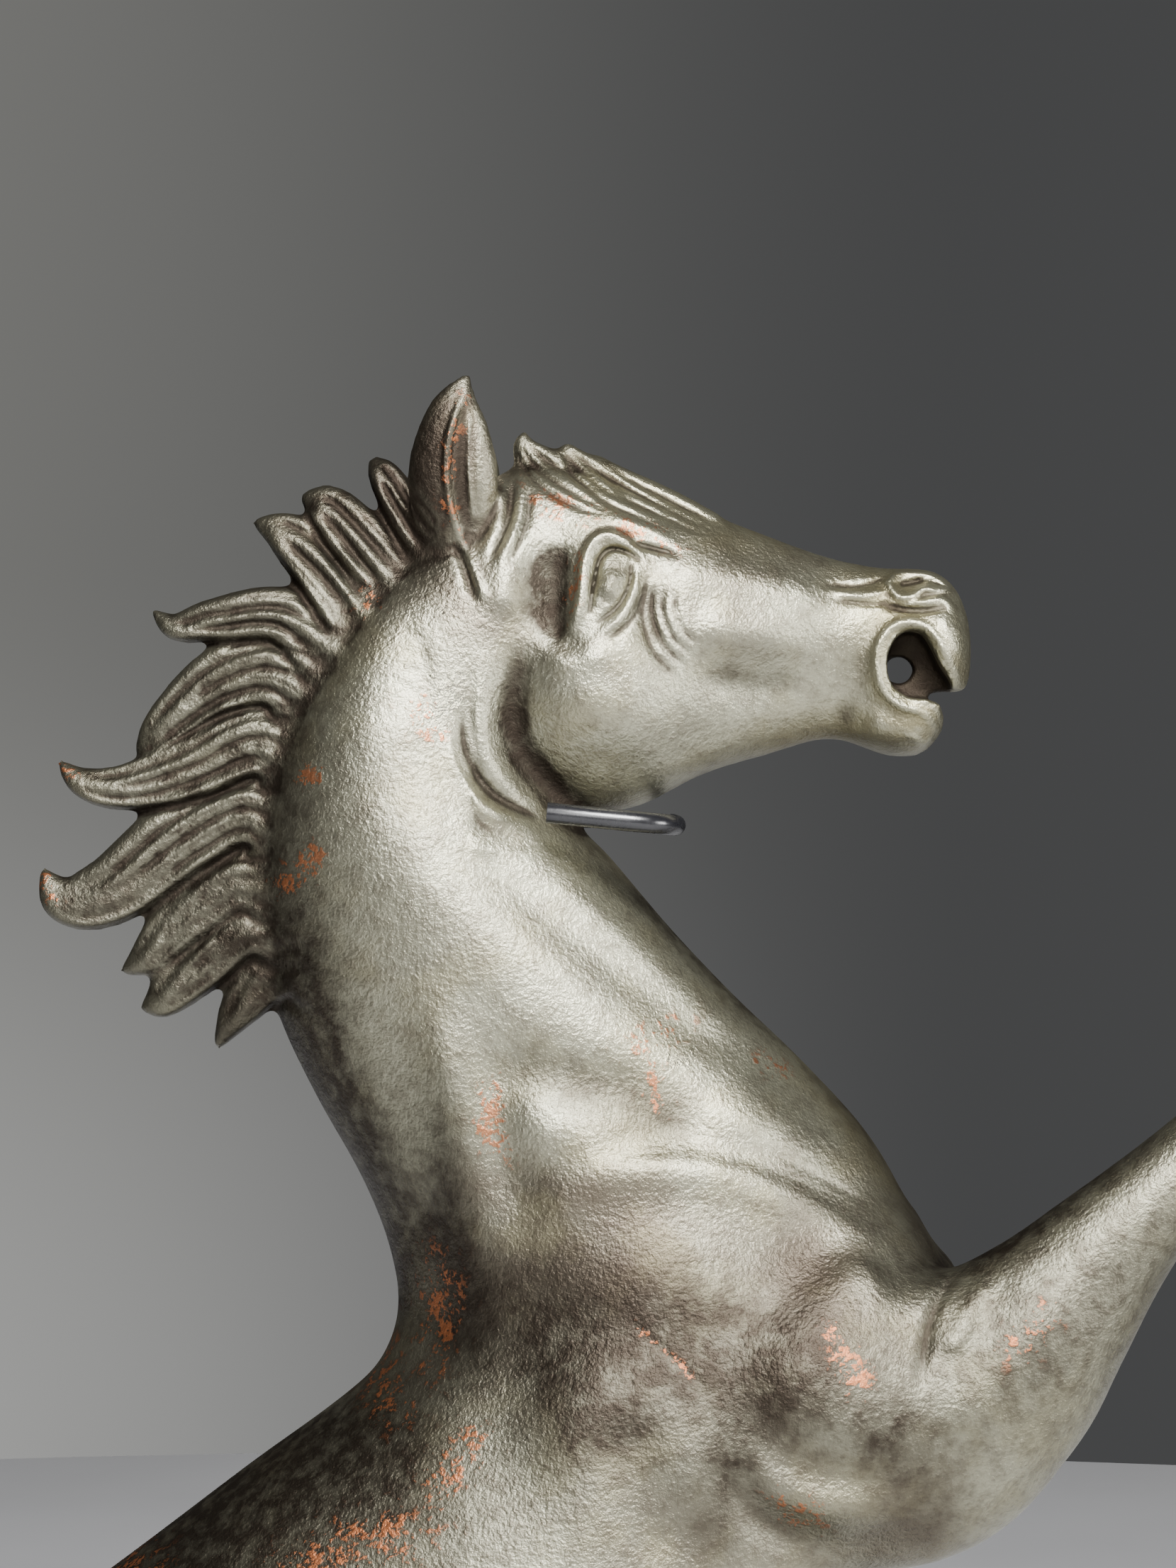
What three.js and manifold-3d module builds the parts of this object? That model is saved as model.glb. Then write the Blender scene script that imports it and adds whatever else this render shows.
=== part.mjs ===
// Bronze statuette of a rearing horse, on a stone plinth with a rod mount at its throat and belly.
// Millimetres, +Z up. +X is the way the horse faces, and -Y is the horse's right side.
// The origin is the centre of the felt's underside, on the surface that the plinth stands on.
//
// The horse is a sectional casting: forehand, hindquarters, four legs and a tail, each cast alone,
// fitted together with spigots and cross pins, and chased flush. The two big castings are hollow.

import * as THREE from "three";
import { mergeVertices } from "three/addons/utils/BufferGeometryUtils.js";
import Module from "manifold-3d";

const wasm = await Module();
wasm.setup();

// ---- driving dimensions -------------------------------------------------------------------------

const GAP = 0.3; // clearance between neighbouring pieces
const WALL = 3.6; // bronze wall of the hollow castings

const FELT = { length: 126, width: 84, thickness: 2 };
const PLINTH = { length: 132, width: 90, height: 16, chamfer: 2.5, chamferDepth: 3 };
const GROUND = FELT.thickness + PLINTH.height; // height of the face that the hooves stand on

const STUD = { radius: 1.5, bottom: 3.5, engagement: 5 }; // threaded stud, from under the plinth up
const NUT = { radius: 3.1, height: 2.4 };
const WASHER = { radius: 3.6, thickness: 0.8 };
const COUNTERBORE = { radius: 4.6, depth: 6 };

const SPIGOT = { radius: 3.2, length: 7 };
const PIN_RADIUS = 0.9;
const COLLAR = { length: 7, thickness: 2.3 }; // collar inside the waist joint

const POST = { x: 14, y: 33, radius: 2.4, armRadius: 1.8 };
const CLIP = { z: 213, farY: 17, nearY: -14.5, frontX: 38.5, corner: 5, rod: 0.6 };
const SLEEVE = { outer: 1.1, inner: 0.82, endX: 25, startY: 4 };
const RECEIVER = { outer: 2.1, bore: 0.9, length: 15 };
const GRUB_SCREW = { radius: 0.7, length: 1.7, recess: 0.35 };

// ---- materials ----------------------------------------------------------------------------------

const paint = (color, roughness, metalness) => new THREE.MeshStandardMaterial({ color, roughness, metalness });
const BRONZE = paint(0x6b6456, 0.42, 0.9);
const PIN_BRONZE = paint(0x8a6f4c, 0.4, 0.9);
const BLACK_STEEL = paint(0x1c1c1d, 0.45, 0.6);
const SLEEVE_PLASTIC = paint(0x131315, 0.35, 0);
const BLACK_STONE = paint(0x1b1c1e, 0.25, 0);
const FELT_GREEN = paint(0x24332a, 0.95, 0);
const ZINC = paint(0x9a9a96, 0.4, 0.9);

// ---- solids -------------------------------------------------------------------------------------

const point = (x, y, z) => new THREE.Vector3(x, y, z);
const ACROSS = point(0, 1, 0);

// A closed geometry as a solid, turned right side out if need be.
function solid(geometry) {
  const bare = geometry.index ? geometry.toNonIndexed() : geometry.clone();
  bare.deleteAttribute("normal");
  bare.deleteAttribute("uv");
  const merged = mergeVertices(bare, 1e-4);
  const triVerts = new Uint32Array(merged.index.array);
  const build = () => new wasm.Manifold(new wasm.Mesh({
    numProp: 3,
    vertProperties: merged.attributes.position.array,
    triVerts,
  }));
  const made = build();
  if (made.volume() > 0) return made;
  for (let i = 0; i < triVerts.length; i += 3) {
    [triVerts[i + 1], triVerts[i + 2]] = [triVerts[i + 2], triVerts[i + 1]];
  }
  return build();
}

const joined = (solids) => solids.reduce((a, b) => a.add(b));

// A geometry placed by a position and a rotation in radians.
function placed(geometry, position, rotation = [0, 0, 0]) {
  const matrix = new THREE.Matrix4().makeRotationFromEuler(new THREE.Euler(...rotation));
  return geometry.applyMatrix4(matrix.setPosition(position));
}

const box = (centre, size, tilt = 0) =>
  solid(placed(new THREE.BoxGeometry(size.x, size.y, size.z), centre, [0, tilt, 0]));

// A round bar between two points.
function bar(from, to, radius, sides = 20) {
  const span = to.clone().sub(from);
  const geometry = new THREE.CylinderGeometry(radius, radius, span.length(), sides);
  const turn = new THREE.Quaternion().setFromUnitVectors(ACROSS, span.clone().normalize());
  geometry.applyQuaternion(turn);
  const middle = from.clone().lerp(to, 0.5);
  return solid(geometry.translate(middle.x, middle.y, middle.z));
}

// A skin through rings of equally many points, closed at both ends by a fan.
function skin(rings) {
  const sides = rings[0].length;
  const vertices = rings.flat();
  const middle = (ring) => ring.reduce((sum, p) => sum.add(p), point(0, 0, 0)).divideScalar(sides);
  const start = vertices.push(middle(rings[0])) - 1;
  const end = vertices.push(middle(rings[rings.length - 1])) - 1;
  const index = [];
  const last = (rings.length - 1) * sides;
  for (let j = 0; j < sides; j += 1) {
    const k = (j + 1) % sides;
    index.push(start, k, j, end, last + j, last + k);
    for (let row = 0; row < last; row += sides) {
      index.push(row + j, row + k, row + sides + j);
      index.push(row + k, row + sides + k, row + sides + j);
    }
  }
  const flat = vertices.flatMap((v) => v.toArray());
  const geometry = new THREE.BufferGeometry();
  geometry.setAttribute("position", new THREE.Float32BufferAttribute(flat, 3));
  return solid(geometry.setIndex(index));
}

// A value that runs smoothly through a list, at t from 0 to 1.
const smooth = (list) => new THREE.CatmullRomCurve3(list);

// A mass seen from the side. Each section is [top x, top z, bottom x, bottom z, half-width, belly]:
// it meets the profile's two lines, and belly above 0 puts the widest part below the middle.
function mass(sections, { rings = 16, sides = 22, shrink = 0, y = 0 } = {}) {
  const top = smooth(sections.map((s) => point(s[0], 0, s[1])));
  const bottom = smooth(sections.map((s) => point(s[2], 0, s[3])));
  const girth = smooth(sections.map((s) => point(s[4], s[5] ?? 0, 0)));
  const made = [];
  for (let i = 0; i <= rings; i += 1) {
    const t = i / rings;
    const high = top.getPoint(t);
    const low = bottom.getPoint(t);
    const middle = high.clone().lerp(low, 0.5);
    const up = high.sub(low).multiplyScalar(0.5);
    up.setLength(Math.max(up.length() - shrink, 0.4));
    const wide = girth.getPoint(t);
    const halfWidth = Math.max(wide.x - shrink, 0.3);
    const ring = [];
    for (let j = 0; j < sides; j += 1) {
      const angle = (2 * Math.PI * j) / sides;
      const rise = Math.cos(angle);
      const side = Math.sin(angle) * halfWidth * (1 - wide.y * rise);
      ring.push(middle.clone().addScaledVector(up, rise).add(point(0, y + side, 0)));
    }
    made.push(ring);
  }
  return skin(made);
}

// A limb along a bent line. Each stage is [x, y, z, depth radius, width radius]: depth is measured
// in the plane of the side view, and width across it.
function limb(stages, { rings = 14, sides = 14 } = {}) {
  const line = smooth(stages.map((s) => point(s[0], s[1], s[2])));
  const radii = smooth(stages.map((s) => point(s[3], s[4], 0)));
  const made = [];
  for (let i = 0; i <= rings; i += 1) {
    const t = i / rings;
    const middle = line.getPoint(t);
    const along = line.getTangent(t);
    const wide = ACROSS.clone().addScaledVector(along, -along.dot(ACROSS)).normalize();
    const deep = wide.clone().cross(along).normalize();
    const r = radii.getPoint(t);
    const ring = [];
    for (let j = 0; j < sides; j += 1) {
      const angle = (2 * Math.PI * j) / sides;
      ring.push(middle.clone()
        .addScaledVector(deep, Math.cos(angle) * Math.max(r.x, 0.15))
        .addScaledVector(wide, Math.sin(angle) * Math.max(r.y, 0.15)));
    }
    made.push(ring);
  }
  return skin(made);
}

// ---- the horse's masses -------------------------------------------------------------------------

const TRUNK = [
  [-60.5, 92, -58, 84, 8],
  [-57, 103, -48, 77, 17],
  [-48, 113.5, -33, 73.5, 22.5],
  [-36.5, 122.5, -15, 75, 24],
  [-23, 132, 5, 81, 24.5, 0.05],
  [-8, 143.3, 24, 90.5, 26, 0.08],
  [5, 153, 42, 104, 26, 0.06],
  [18, 166, 57, 122, 24],
  [38, 176, 65.5, 138, 20],
  [56, 177, 68.5, 152, 14.5],
  [65, 171, 69.5, 160, 8],
];

const NECK = [
  [4, 150, 67.5, 150, 21],
  [8.4, 159, 69.6, 163.5, 20],
  [7.9, 166.3, 65.6, 169, 19],
  [4.8, 174.5, 60, 179, 17.5],
  [-0.5, 184, 52.5, 187.4, 16.5],
  [-4.6, 193, 45, 194.6, 15.5],
  [-6.6, 203, 38, 202, 14.5],
  [-7, 213, 31.2, 210, 13.5],
  [-4.8, 222.5, 27, 214, 12.5],
  [-0.5, 231, 26, 219, 11.5],
  [6, 239.5, 27, 225, 11],
  [14, 246.5, 30, 231, 10],
  [20, 249, 33, 236, 8],
];

const SKULL = [
  [15, 246, 17.5, 229, 6],
  [19.5, 251, 21, 220, 9.6],
  [26, 252.3, 26, 214.6, 11.4],
  [33, 250.7, 34, 214.7, 11.8],
  [40, 247.7, 41.5, 218.3, 10.3],
  [47.5, 244.8, 48.5, 220.4, 8.3],
  [55, 242.1, 55.5, 222.2, 6.8],
  [61, 240.9, 61.4, 220.4, 7.1],
  [66.4, 240.7, 65.6, 220.6, 7.2],
  [69.3, 238.4, 68.4, 224.4, 6],
  [70.6, 234.6, 70.6, 228.4, 3.6],
];

// The mouth: the hollow inside each cheek, the gap between the lips, and the hole between the teeth.
const MOUTH = [
  [61.3, 229], [61.2, 231], [62, 232.9], [63.4, 233.9], [65.1, 233.5], [66.1, 231.8],
  [67, 229.9], [68.3, 228.1], [67.6, 227.1], [65.6, 226.5], [63.6, 226.6], [62, 227.6],
];
const LIP_GAP = [
  [65.8, 227.2], [69.8, 227.4], [78, 229], [78, 218], [68.6, 220.4], [67.7, 222.6],
  [67.6, 224.6], [67, 226.1], [65.8, 226.3],
];
const TOOTH_GAP = { at: point(62.9, 0, 229.7), radius: 1.5 };
const MOUTH_WALL = 0.9; // half the thickness of the metal left standing in the mouth

// A side of the horse: its left is +1 and its right -1.
const SIDES = { left: 1, right: -1 };

function ear(side) {
  return limb([
    [15.9, side * 5.2, 242.4, 3.2, 2.2],
    [14.9, side * 6.4, 247.4, 4.7, 2.8],
    [14.8, side * 7, 251, 4.9, 2.7],
    [14.9, side * 7.5, 254.6, 4.1, 2.3],
    [15.3, side * 7.7, 258, 2.6, 1.6],
    [16.7, side * 7.4, 261, 0.3, 0.3],
  ], { rings: 8, sides: 10 });
}

// A lock of hair: [x, z, half-width] along its middle line, root first, drawn out to a point.
function lock(line, y, thickness) {
  const stages = line.map(([x, z, width], i) => {
    const left = 1 - i / (line.length - 1);
    return [x, y * left, z, width, 0.5 + thickness * Math.sqrt(left)];
  });
  return limb(stages, { rings: 7, sides: 6 });
}

const MANE_LOCKS = [
  [[13, 242, 3], [9.5, 247, 2.4], [7, 251, 1.8], [5.6, 252.8, 0.5]],
  [[9, 238, 4], [4.6, 243.6, 3.4], [1, 247.4, 2.6], [-2, 248.6, 0.8]],
  [[6, 235, 5], [1, 240.5, 3.8], [-3.4, 244.4, 2.6], [-7.2, 245.9, 0.5]],
  [[3, 231, 5], [-4, 235.6, 3.2], [-11, 235.2, 2.4], [-15.4, 234.4, 1.6], [-18.2, 236.3, 0.3]],
  [[1, 227, 6], [-5, 230, 4.6], [-11, 228.4, 3.6], [-17, 223.6, 2.2], [-19.6, 220.4, 0.8]],
  [[-1, 220, 6], [-7, 222.2, 4.4], [-14, 219, 3.4], [-21, 217, 2.6], [-25.6, 217.6, 1.7], [-28.4, 220, 0.3]],
  [[-2, 212, 6], [-8, 215, 4.6], [-15, 211.6, 4.4], [-22.4, 205.8, 3.9], [-27.6, 205, 2.8], [-30.2, 208.4, 0.3]],
  [[-2, 206, 5], [-9, 207, 3.8], [-15, 202.6, 3], [-19, 198.4, 1.8], [-21.6, 196.9, 0.3]],
  [[-1, 201, 5], [-8, 202, 3.8], [-13, 197.6, 3.2], [-17, 194, 2.2], [-19.4, 193, 0.4]],
  [[1, 197, 5], [-4.4, 197.4, 3.6], [-8.4, 193.2, 2.4], [-11.2, 188.6, 0.6]],
];
const MANE_THICKNESS = 3;
const MANE_Y = 3.4; // the mane parts in two down the crest, this far to each side

const FORELOCKS = [
  [[31, 247.6, 2.4], [27, 249.8, 2.8], [24, 251.8, 2.5], [22.3, 254, 1.4], [22.4, 255.6, 0.4]],
  [[37, 246.8, 2.2], [32, 249.2, 2.4], [28.8, 251.4, 2], [27.2, 253.4, 1], [27, 254.5, 0.4]],
  [[43, 245, 1.6], [38, 247.4, 1.9], [33.8, 249.6, 1.7], [31, 251.8, 0.9], [30.2, 253.1, 0.4]],
];
const FORELOCK_THICKNESS = 3.4;

// The right foreleg is raised a little more than the left. Each leg is drawn about the plane y = 0
// and set out to its side; the upper part ends inside the knee or stifle that the lower part starts at.
const FORELEGS = {
  right: {
    upper: [[36, 158, 4, 3], [43, 155, 12, 7], [52, 152, 17, 10], [63, 150.6, 15.6, 9.8], [72, 154.6, 11.4, 8.8],
      [78, 160.6, 8.4, 7.6], [84, 168, 6.4, 6.4], [91, 175.6, 4.7, 5.4], [98.6, 182.6, 4.6, 5.2], [101.6, 185, 3.6, 4]],
    lower: [[100.6, 186, 3.4, 3.8], [103, 181.2, 4.7, 4.8], [105.8, 170.6, 3, 3.2], [107.6, 161.2, 3.7, 3.7],
      [106, 154.6, 2.9, 3.1], [103.6, 150.2, 4, 4], [101.4, 146, 4.8, 4.8]],
  },
  left: {
    upper: [[36, 157, 4, 3], [43, 154, 12, 7], [52, 151, 16, 10], [65, 148.6, 14.6, 9.8], [75.4, 151.4, 10.6, 8.6],
      [81, 157.4, 7.4, 7.4], [87.6, 165.2, 5.8, 6.2], [95, 172.9, 4.4, 5.2], [105, 181.4, 4.6, 5.2],
      [107.6, 183.4, 3.6, 4]],
    lower: [[106.4, 184.4, 3.2, 3.8], [109.4, 179.8, 4.6, 4.8], [114.4, 172.6, 3, 3.2], [119, 165.4, 3.6, 3.7],
      [119.6, 158.8, 2.9, 3.1], [118.4, 154.2, 4, 4], [117, 150, 4.8, 4.8]],
  },
};
const FORELEG_Y = 13.6;

// The hind legs carry the weight, with the left hoof set down behind the right.
const HIND_LAG = { left: 9, right: 0 };
const HIND_LEG_Y = 13.4;

function hindLeg(lag) {
  return {
    thigh: [[-36, 102, 14, 10], [-26, 97, 18.5, 12], [-8 - lag * 0.3, 88.5, 15, 12],
      [1.5 - lag * 0.6, 82.4, 9, 9.4], [3.8 - lag * 0.7, 80.4, 5.6, 7]],
    hamstring: [[-50, 97, 11, 7], [-38, 86, 12.5, 9.4], [-22 - lag * 0.6, 76, 8.6, 7.8], [-9 - lag, 67.6, 5.4, 5.4]],
    shank: [[2.6 - lag * 0.8, 82.2, 5.4, 6.6], [-2.4 - lag, 73.6, 8, 7.4], [-13.4 - lag, 62.8, 5.4, 5],
      [-18.2 - lag, 55.6, 4.6, 4.3], [-15.6 - lag, 44, 3.1, 3.2], [-12 - lag, 33.6, 3.9, 3.9],
      [-7.4 - lag, 28.2, 3.2, 3.4], [-4 - lag, 24, 4.6, 4.6], [-1.4 - lag, 19.4, 5.8, 5.4], [-0.6 - lag, 15, 6, 5.6]],
  };
}

const TAIL = [[-55, 98, 4.6, 4.4], [-63, 101.6, 4.8, 4.8], [-72, 99, 5.8, 5.6], [-79, 90, 7.4, 6.6],
  [-82.6, 77, 8, 7], [-82, 63, 7.2, 6.4], [-78.4, 50.6, 5, 4.8], [-76, 42, 2.4, 2.6], [-78.6, 35.4, 0.5, 0.5]];
const TAIL_LOCKS = [
  [[-80, 62, 4], [-84, 52, 3], [-90, 45, 1.4], [-93.4, 45.6, 0.4]],
  [[-78, 56, 4], [-73, 46, 2.6], [-69.6, 38, 1.2], [-71, 34.6, 0.4]],
];

// ---- where the castings divide ------------------------------------------------------------------

const WAIST = { at: point(-7, 0, 106), normal: point(0.862, 0, 0.507) };
const SHOULDER = { at: point(69, 0, 151), normal: point(0.982, 0, -0.191) };
const STIFLE = { at: point(0, 0, 66), normal: point(0, 0, 1) };
const DOCK = { at: point(-62, 0, 101), normal: point(1, 0, 0) };

// The part of a solid past a plane, in front of it or behind it, starting a given distance away.
function front(made, plane, away = GAP / 2) {
  return made.trimByPlane(plane.normal.toArray(), plane.normal.dot(plane.at) + away);
}

function back(made, plane, away = GAP / 2) {
  const turned = plane.normal.clone().negate();
  return made.trimByPlane(turned.toArray(), turned.dot(plane.at) + away);
}

const onSide = (made, side, away = GAP / 2) => front(made, { at: point(0, 0, 0), normal: point(0, side, 0) }, away);

// A spigot across a joint, from a point on its plane, with its socket, the boss round the socket,
// and the pin that crosses it from the horse's outside, one side or right through.
function spigotJoint(at, direction, pinFrom, pinTo, radius = SPIGOT.radius) {
  const along = (distance) => at.clone().addScaledVector(direction.clone().normalize(), distance);
  const crossing = along(SPIGOT.length * 0.55);
  const pinEnd = (y) => point(crossing.x, y, crossing.z);
  const deeper = -Math.sign(pinFrom) * GAP;
  return {
    spigot: bar(along(-2.5), along(SPIGOT.length), radius),
    socket: bar(along(-3), along(SPIGOT.length + GAP), radius + GAP),
    boss: bar(along(0.5), along(SPIGOT.length + 2.5), radius + 3.2),
    pin: bar(pinEnd(pinFrom), pinEnd(pinTo), PIN_RADIUS, 12),
    hole: bar(pinEnd(pinFrom), pinEnd(pinTo + deeper), PIN_RADIUS + GAP, 12),
  };
}

const foreJoint = (side) => spigotJoint(point(69, side * FORELEG_Y, 150.5), point(-1, 0, -0.2), side * 30, side * 8.4);
const hindJoint = (side, lag) => spigotJoint(
  point(-10 - lag, side * HIND_LEG_Y, 66), point(0.74, 0, 0.67), side * 30, side * 8.4, 2.9);

const JOINTS = {
  left_foreleg: foreJoint(SIDES.left),
  right_foreleg: foreJoint(SIDES.right),
  left_hind_leg: hindJoint(SIDES.left, HIND_LAG.left),
  right_hind_leg: hindJoint(SIDES.right, HIND_LAG.right),
  tail: spigotJoint(point(-62, 0, 101.2), point(1, 0, -0.3), -12, 12, 2.6),
};

// ---- the group ----------------------------------------------------------------------------------

const statuette = new THREE.Group();

function piece(name, made, material) {
  const source = made.getMesh();
  const geometry = new THREE.BufferGeometry();
  geometry.setAttribute("position", new THREE.BufferAttribute(new Float32Array(source.vertProperties), 3));
  geometry.setIndex(new THREE.BufferAttribute(new Uint32Array(source.triVerts), 1));
  geometry.computeVertexNormals();
  const mesh = new THREE.Mesh(geometry, material);
  mesh.name = name;
  statuette.add(mesh);
}

// ---- the horse ----------------------------------------------------------------------------------

// A limb whose stages leave out y, set out to one side.
const legPart = (stages, y, rings) => limb(stages.map(([x, z, deep, wide]) => [x, y, z, deep, wide]), { rings });

// A bar of the given outline in the side view, from one y to a greater one.
function through(outline, from, to) {
  const shape = new THREE.Shape(outline.map(([x, z]) => new THREE.Vector2(x, z)));
  const geometry = new THREE.ExtrudeGeometry(shape, { depth: to - from, bevelEnabled: false });
  return solid(placed(geometry, point(0, to, 0), [Math.PI / 2, 0, 0]));
}

function mouthCut() {
  const { at, radius } = TOOTH_GAP;
  return joined([
    through(MOUTH, -20, -MOUTH_WALL),
    through(MOUTH, MOUTH_WALL, 20),
    through(LIP_GAP, -20, 20),
    bar(point(at.x, -20, at.z), point(at.x, 20, at.z), radius, 16),
  ]);
}

function mane() {
  const sides = Object.values(SIDES);
  const locks = MANE_LOCKS.flatMap((line) => sides.map((side) => lock(line, side * MANE_Y, MANE_THICKNESS)));
  return joined([...locks, ...FORELOCKS.map((line) => lock(line, 0, FORELOCK_THICKNESS))]);
}

function legs() {
  return Object.entries(SIDES).flatMap(([name, side]) => {
    const fore = FORELEGS[name];
    const hind = hindLeg(HIND_LAG[name]);
    return [
      legPart(fore.upper, side * FORELEG_Y, 14),
      legPart(fore.lower, side * FORELEG_Y, 12),
      legPart(hind.thigh, side * HIND_LEG_Y, 9),
      legPart(hind.hamstring, side * HIND_LEG_Y, 7),
      legPart(hind.shank, side * HIND_LEG_Y, 18),
    ];
  });
}

function tail() {
  const dock = legPart(TAIL, 0, 16);
  return joined([dock, ...TAIL_LOCKS.map((line) => lock(line, 0, 3.4))]);
}

// The trunk and neck, shrunk to the face of the hollow inside them or smaller still.
function core(shrink) {
  const inTrunk = mass(TRUNK.slice(1, -1), { rings: 10, sides: 12, shrink });
  const inNeck = mass(NECK.slice(0, -3), { rings: 8, sides: 12, shrink: shrink + 0.6 });
  return inTrunk.add(inNeck);
}

// The collar on the hindquarters that slides inside the forehand's wall.
function waistCollar() {
  const outer = back(core(WALL + GAP), WAIST, -COLLAR.length).add(back(core(WALL - 0.5), WAIST));
  return front(outer, WAIST, -COLLAR.length).subtract(core(WALL + GAP + COLLAR.thickness));
}

function waistPins() {
  const at = WAIST.at.clone().addScaledVector(WAIST.normal, COLLAR.length / 2);
  const depth = WALL + GAP + COLLAR.thickness;
  const across = (side, radius, y) => bar(point(at.x, side * 32, at.z), point(at.x, side * y, at.z), radius, 12);
  return Object.fromEntries(Object.entries(SIDES).map(([name, side]) => [name, {
    pin: across(side, PIN_RADIUS, 26 - depth),
    hole: across(side, PIN_RADIUS + GAP, 26 - depth - 2),
  }]));
}

function castings() {
  const skull = mass(SKULL, { rings: 18, sides: 16 }).subtract(mouthCut());
  const body = mass(TRUNK, { rings: 16, sides: 22 }).add(mass(NECK, { rings: 15, sides: 18 }));
  const ears = Object.values(SIDES).map(ear);
  const below = box(point(0, 0, GROUND - 20), point(300, 200, 40));
  const figure = joined([body, skull, ...ears, mane(), ...legs(), tail()]).subtract(below);

  const bosses = joined(Object.values(JOINTS).map((joint) => joint.boss)).intersect(figure);
  const shell = figure.subtract(core(WALL)).add(bosses);
  const forelegSpace = front(box(point(110, 0, 150), point(120, 120, 110)), SHOULDER, -GAP / 2);
  const pins = waistPins();

  const fore = (side) => onSide(front(shell.intersect(forelegSpace), SHOULDER), side, 0.5);
  const hind = (side) => onSide(back(shell, STIFLE).intersect(box(point(-10, 0, 40), point(90, 120, 60))), side);
  const made = {
    left_foreleg: fore(SIDES.left),
    right_foreleg: fore(SIDES.right),
    left_hind_leg: hind(SIDES.left),
    right_hind_leg: hind(SIDES.right),
    tail: back(shell, DOCK),
  };

  let forehand = front(shell, WAIST).subtract(forelegSpace);
  let hindquarter = front(back(front(shell, STIFLE), WAIST), DOCK).add(waistCollar());
  for (const [name, joint] of Object.entries(JOINTS)) {
    const cut = joint.socket.add(joint.hole);
    if (name.endsWith("foreleg")) forehand = forehand.subtract(cut);
    else hindquarter = hindquarter.subtract(cut);
    made[name] = made[name].add(joint.spigot).subtract(joint.hole);
    piece(`${name}_pin`, joint.pin.intersect(figure), PIN_BRONZE);
  }
  for (const [name, { pin, hole }] of Object.entries(pins)) {
    forehand = forehand.subtract(hole);
    hindquarter = hindquarter.subtract(hole);
    piece(`waist_pin_${name}`, pin.intersect(figure), PIN_BRONZE);
  }
  for (const [name, side] of Object.entries(SIDES)) {
    const leg = `${name}_hind_leg`;
    made[leg] = made[leg].subtract(studSpace(hoofX(name), side * HIND_LEG_Y, STUD.engagement));
  }
  piece("forehand_casting", forehand, BRONZE);
  piece("hindquarter_casting", hindquarter, BRONZE);
  for (const [name, casting] of Object.entries(made)) piece(`${name}_casting`, casting, BRONZE);
}

// ---- the plinth and what bolts the horse to it --------------------------------------------------

const UNDERSIDE = FELT.thickness;
const SEAT = UNDERSIDE + COUNTERBORE.depth; // face that the washers bear on

const hoofX = (name) => -2.6 - HIND_LAG[name];

const uprightBar = (x, y, from, to, radius, sides) => bar(point(x, y, from), point(x, y, to), radius, sides);

function studSpace(x, y, above) {
  return uprightBar(x, y, 0, GROUND + above + GAP, STUD.radius + GAP);
}

// A slab with a chamfered top edge.
function slab({ length, width, chamfer, chamferDepth }, from, to) {
  const corners = (inset, z) => [[1, 1], [-1, 1], [-1, -1], [1, -1]]
    .map(([x, y]) => point(x * (length / 2 - inset), y * (width / 2 - inset), z));
  return skin([corners(0, from), corners(0, to - chamferDepth), corners(chamfer, to)]);
}

function washerAndNut(name, x, y) {
  const space = studSpace(x, y, 0);
  const top = SEAT - GAP;
  const under = top - WASHER.thickness;
  const washer = uprightBar(x, y, under, top, WASHER.radius, 16);
  const nut = uprightBar(x, y, under - GAP - NUT.height, under - GAP, NUT.radius, 6);
  piece(`${name}_washer`, washer.subtract(space), ZINC);
  piece(`${name}_nut`, nut.subtract(space), ZINC);
}

function base() {
  const feet = Object.entries(SIDES).map(([name, side]) => ({
    name: `${name}_hoof`, x: hoofX(name), y: side * HIND_LEG_Y,
  }));
  const fixings = [...feet, { name: "post", x: POST.x, y: POST.y }];
  let plinth = slab(PLINTH, UNDERSIDE + GAP, GROUND - GAP);
  let felt = box(point(0, 0, FELT.thickness / 2), point(FELT.length, FELT.width, FELT.thickness));
  for (const { name, x, y } of fixings) {
    const counterbore = uprightBar(x, y, 0, SEAT, COUNTERBORE.radius, 16);
    plinth = plinth.subtract(studSpace(x, y, 0)).subtract(counterbore);
    felt = felt.subtract(counterbore);
    washerAndNut(name, x, y);
  }
  for (const { name, x, y } of feet) {
    piece(`${name}_stud`, uprightBar(x, y, STUD.bottom, GROUND + STUD.engagement, STUD.radius), ZINC);
  }
  piece("plinth", plinth, BLACK_STONE);
  piece("felt_pad", felt, FELT_GREEN);
}

// ---- the throat rest ----------------------------------------------------------------------------

const RECEIVER_AT = point(POST.x, CLIP.farY, CLIP.z);

function supportPost() {
  const elbow = point(POST.x, POST.y, CLIP.z);
  const shaft = uprightBar(POST.x, POST.y, GROUND, CLIP.z, POST.radius, 20);
  const thread = uprightBar(POST.x, POST.y, STUD.bottom, GROUND + 2, STUD.radius);
  const knuckle = solid(new THREE.SphereGeometry(POST.radius, 20, 12).translate(elbow.x, elbow.y, elbow.z));
  const armEnd = RECEIVER_AT.clone().add(point(0, RECEIVER.outer + GAP, 0));
  const tip = RECEIVER_AT.clone().add(point(0, RECEIVER.bore + 2 * GAP, 0));
  return joined([shaft, thread, knuckle, bar(elbow, armEnd, POST.armRadius, 16), bar(armEnd, tip, 1, 12)]);
}

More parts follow.
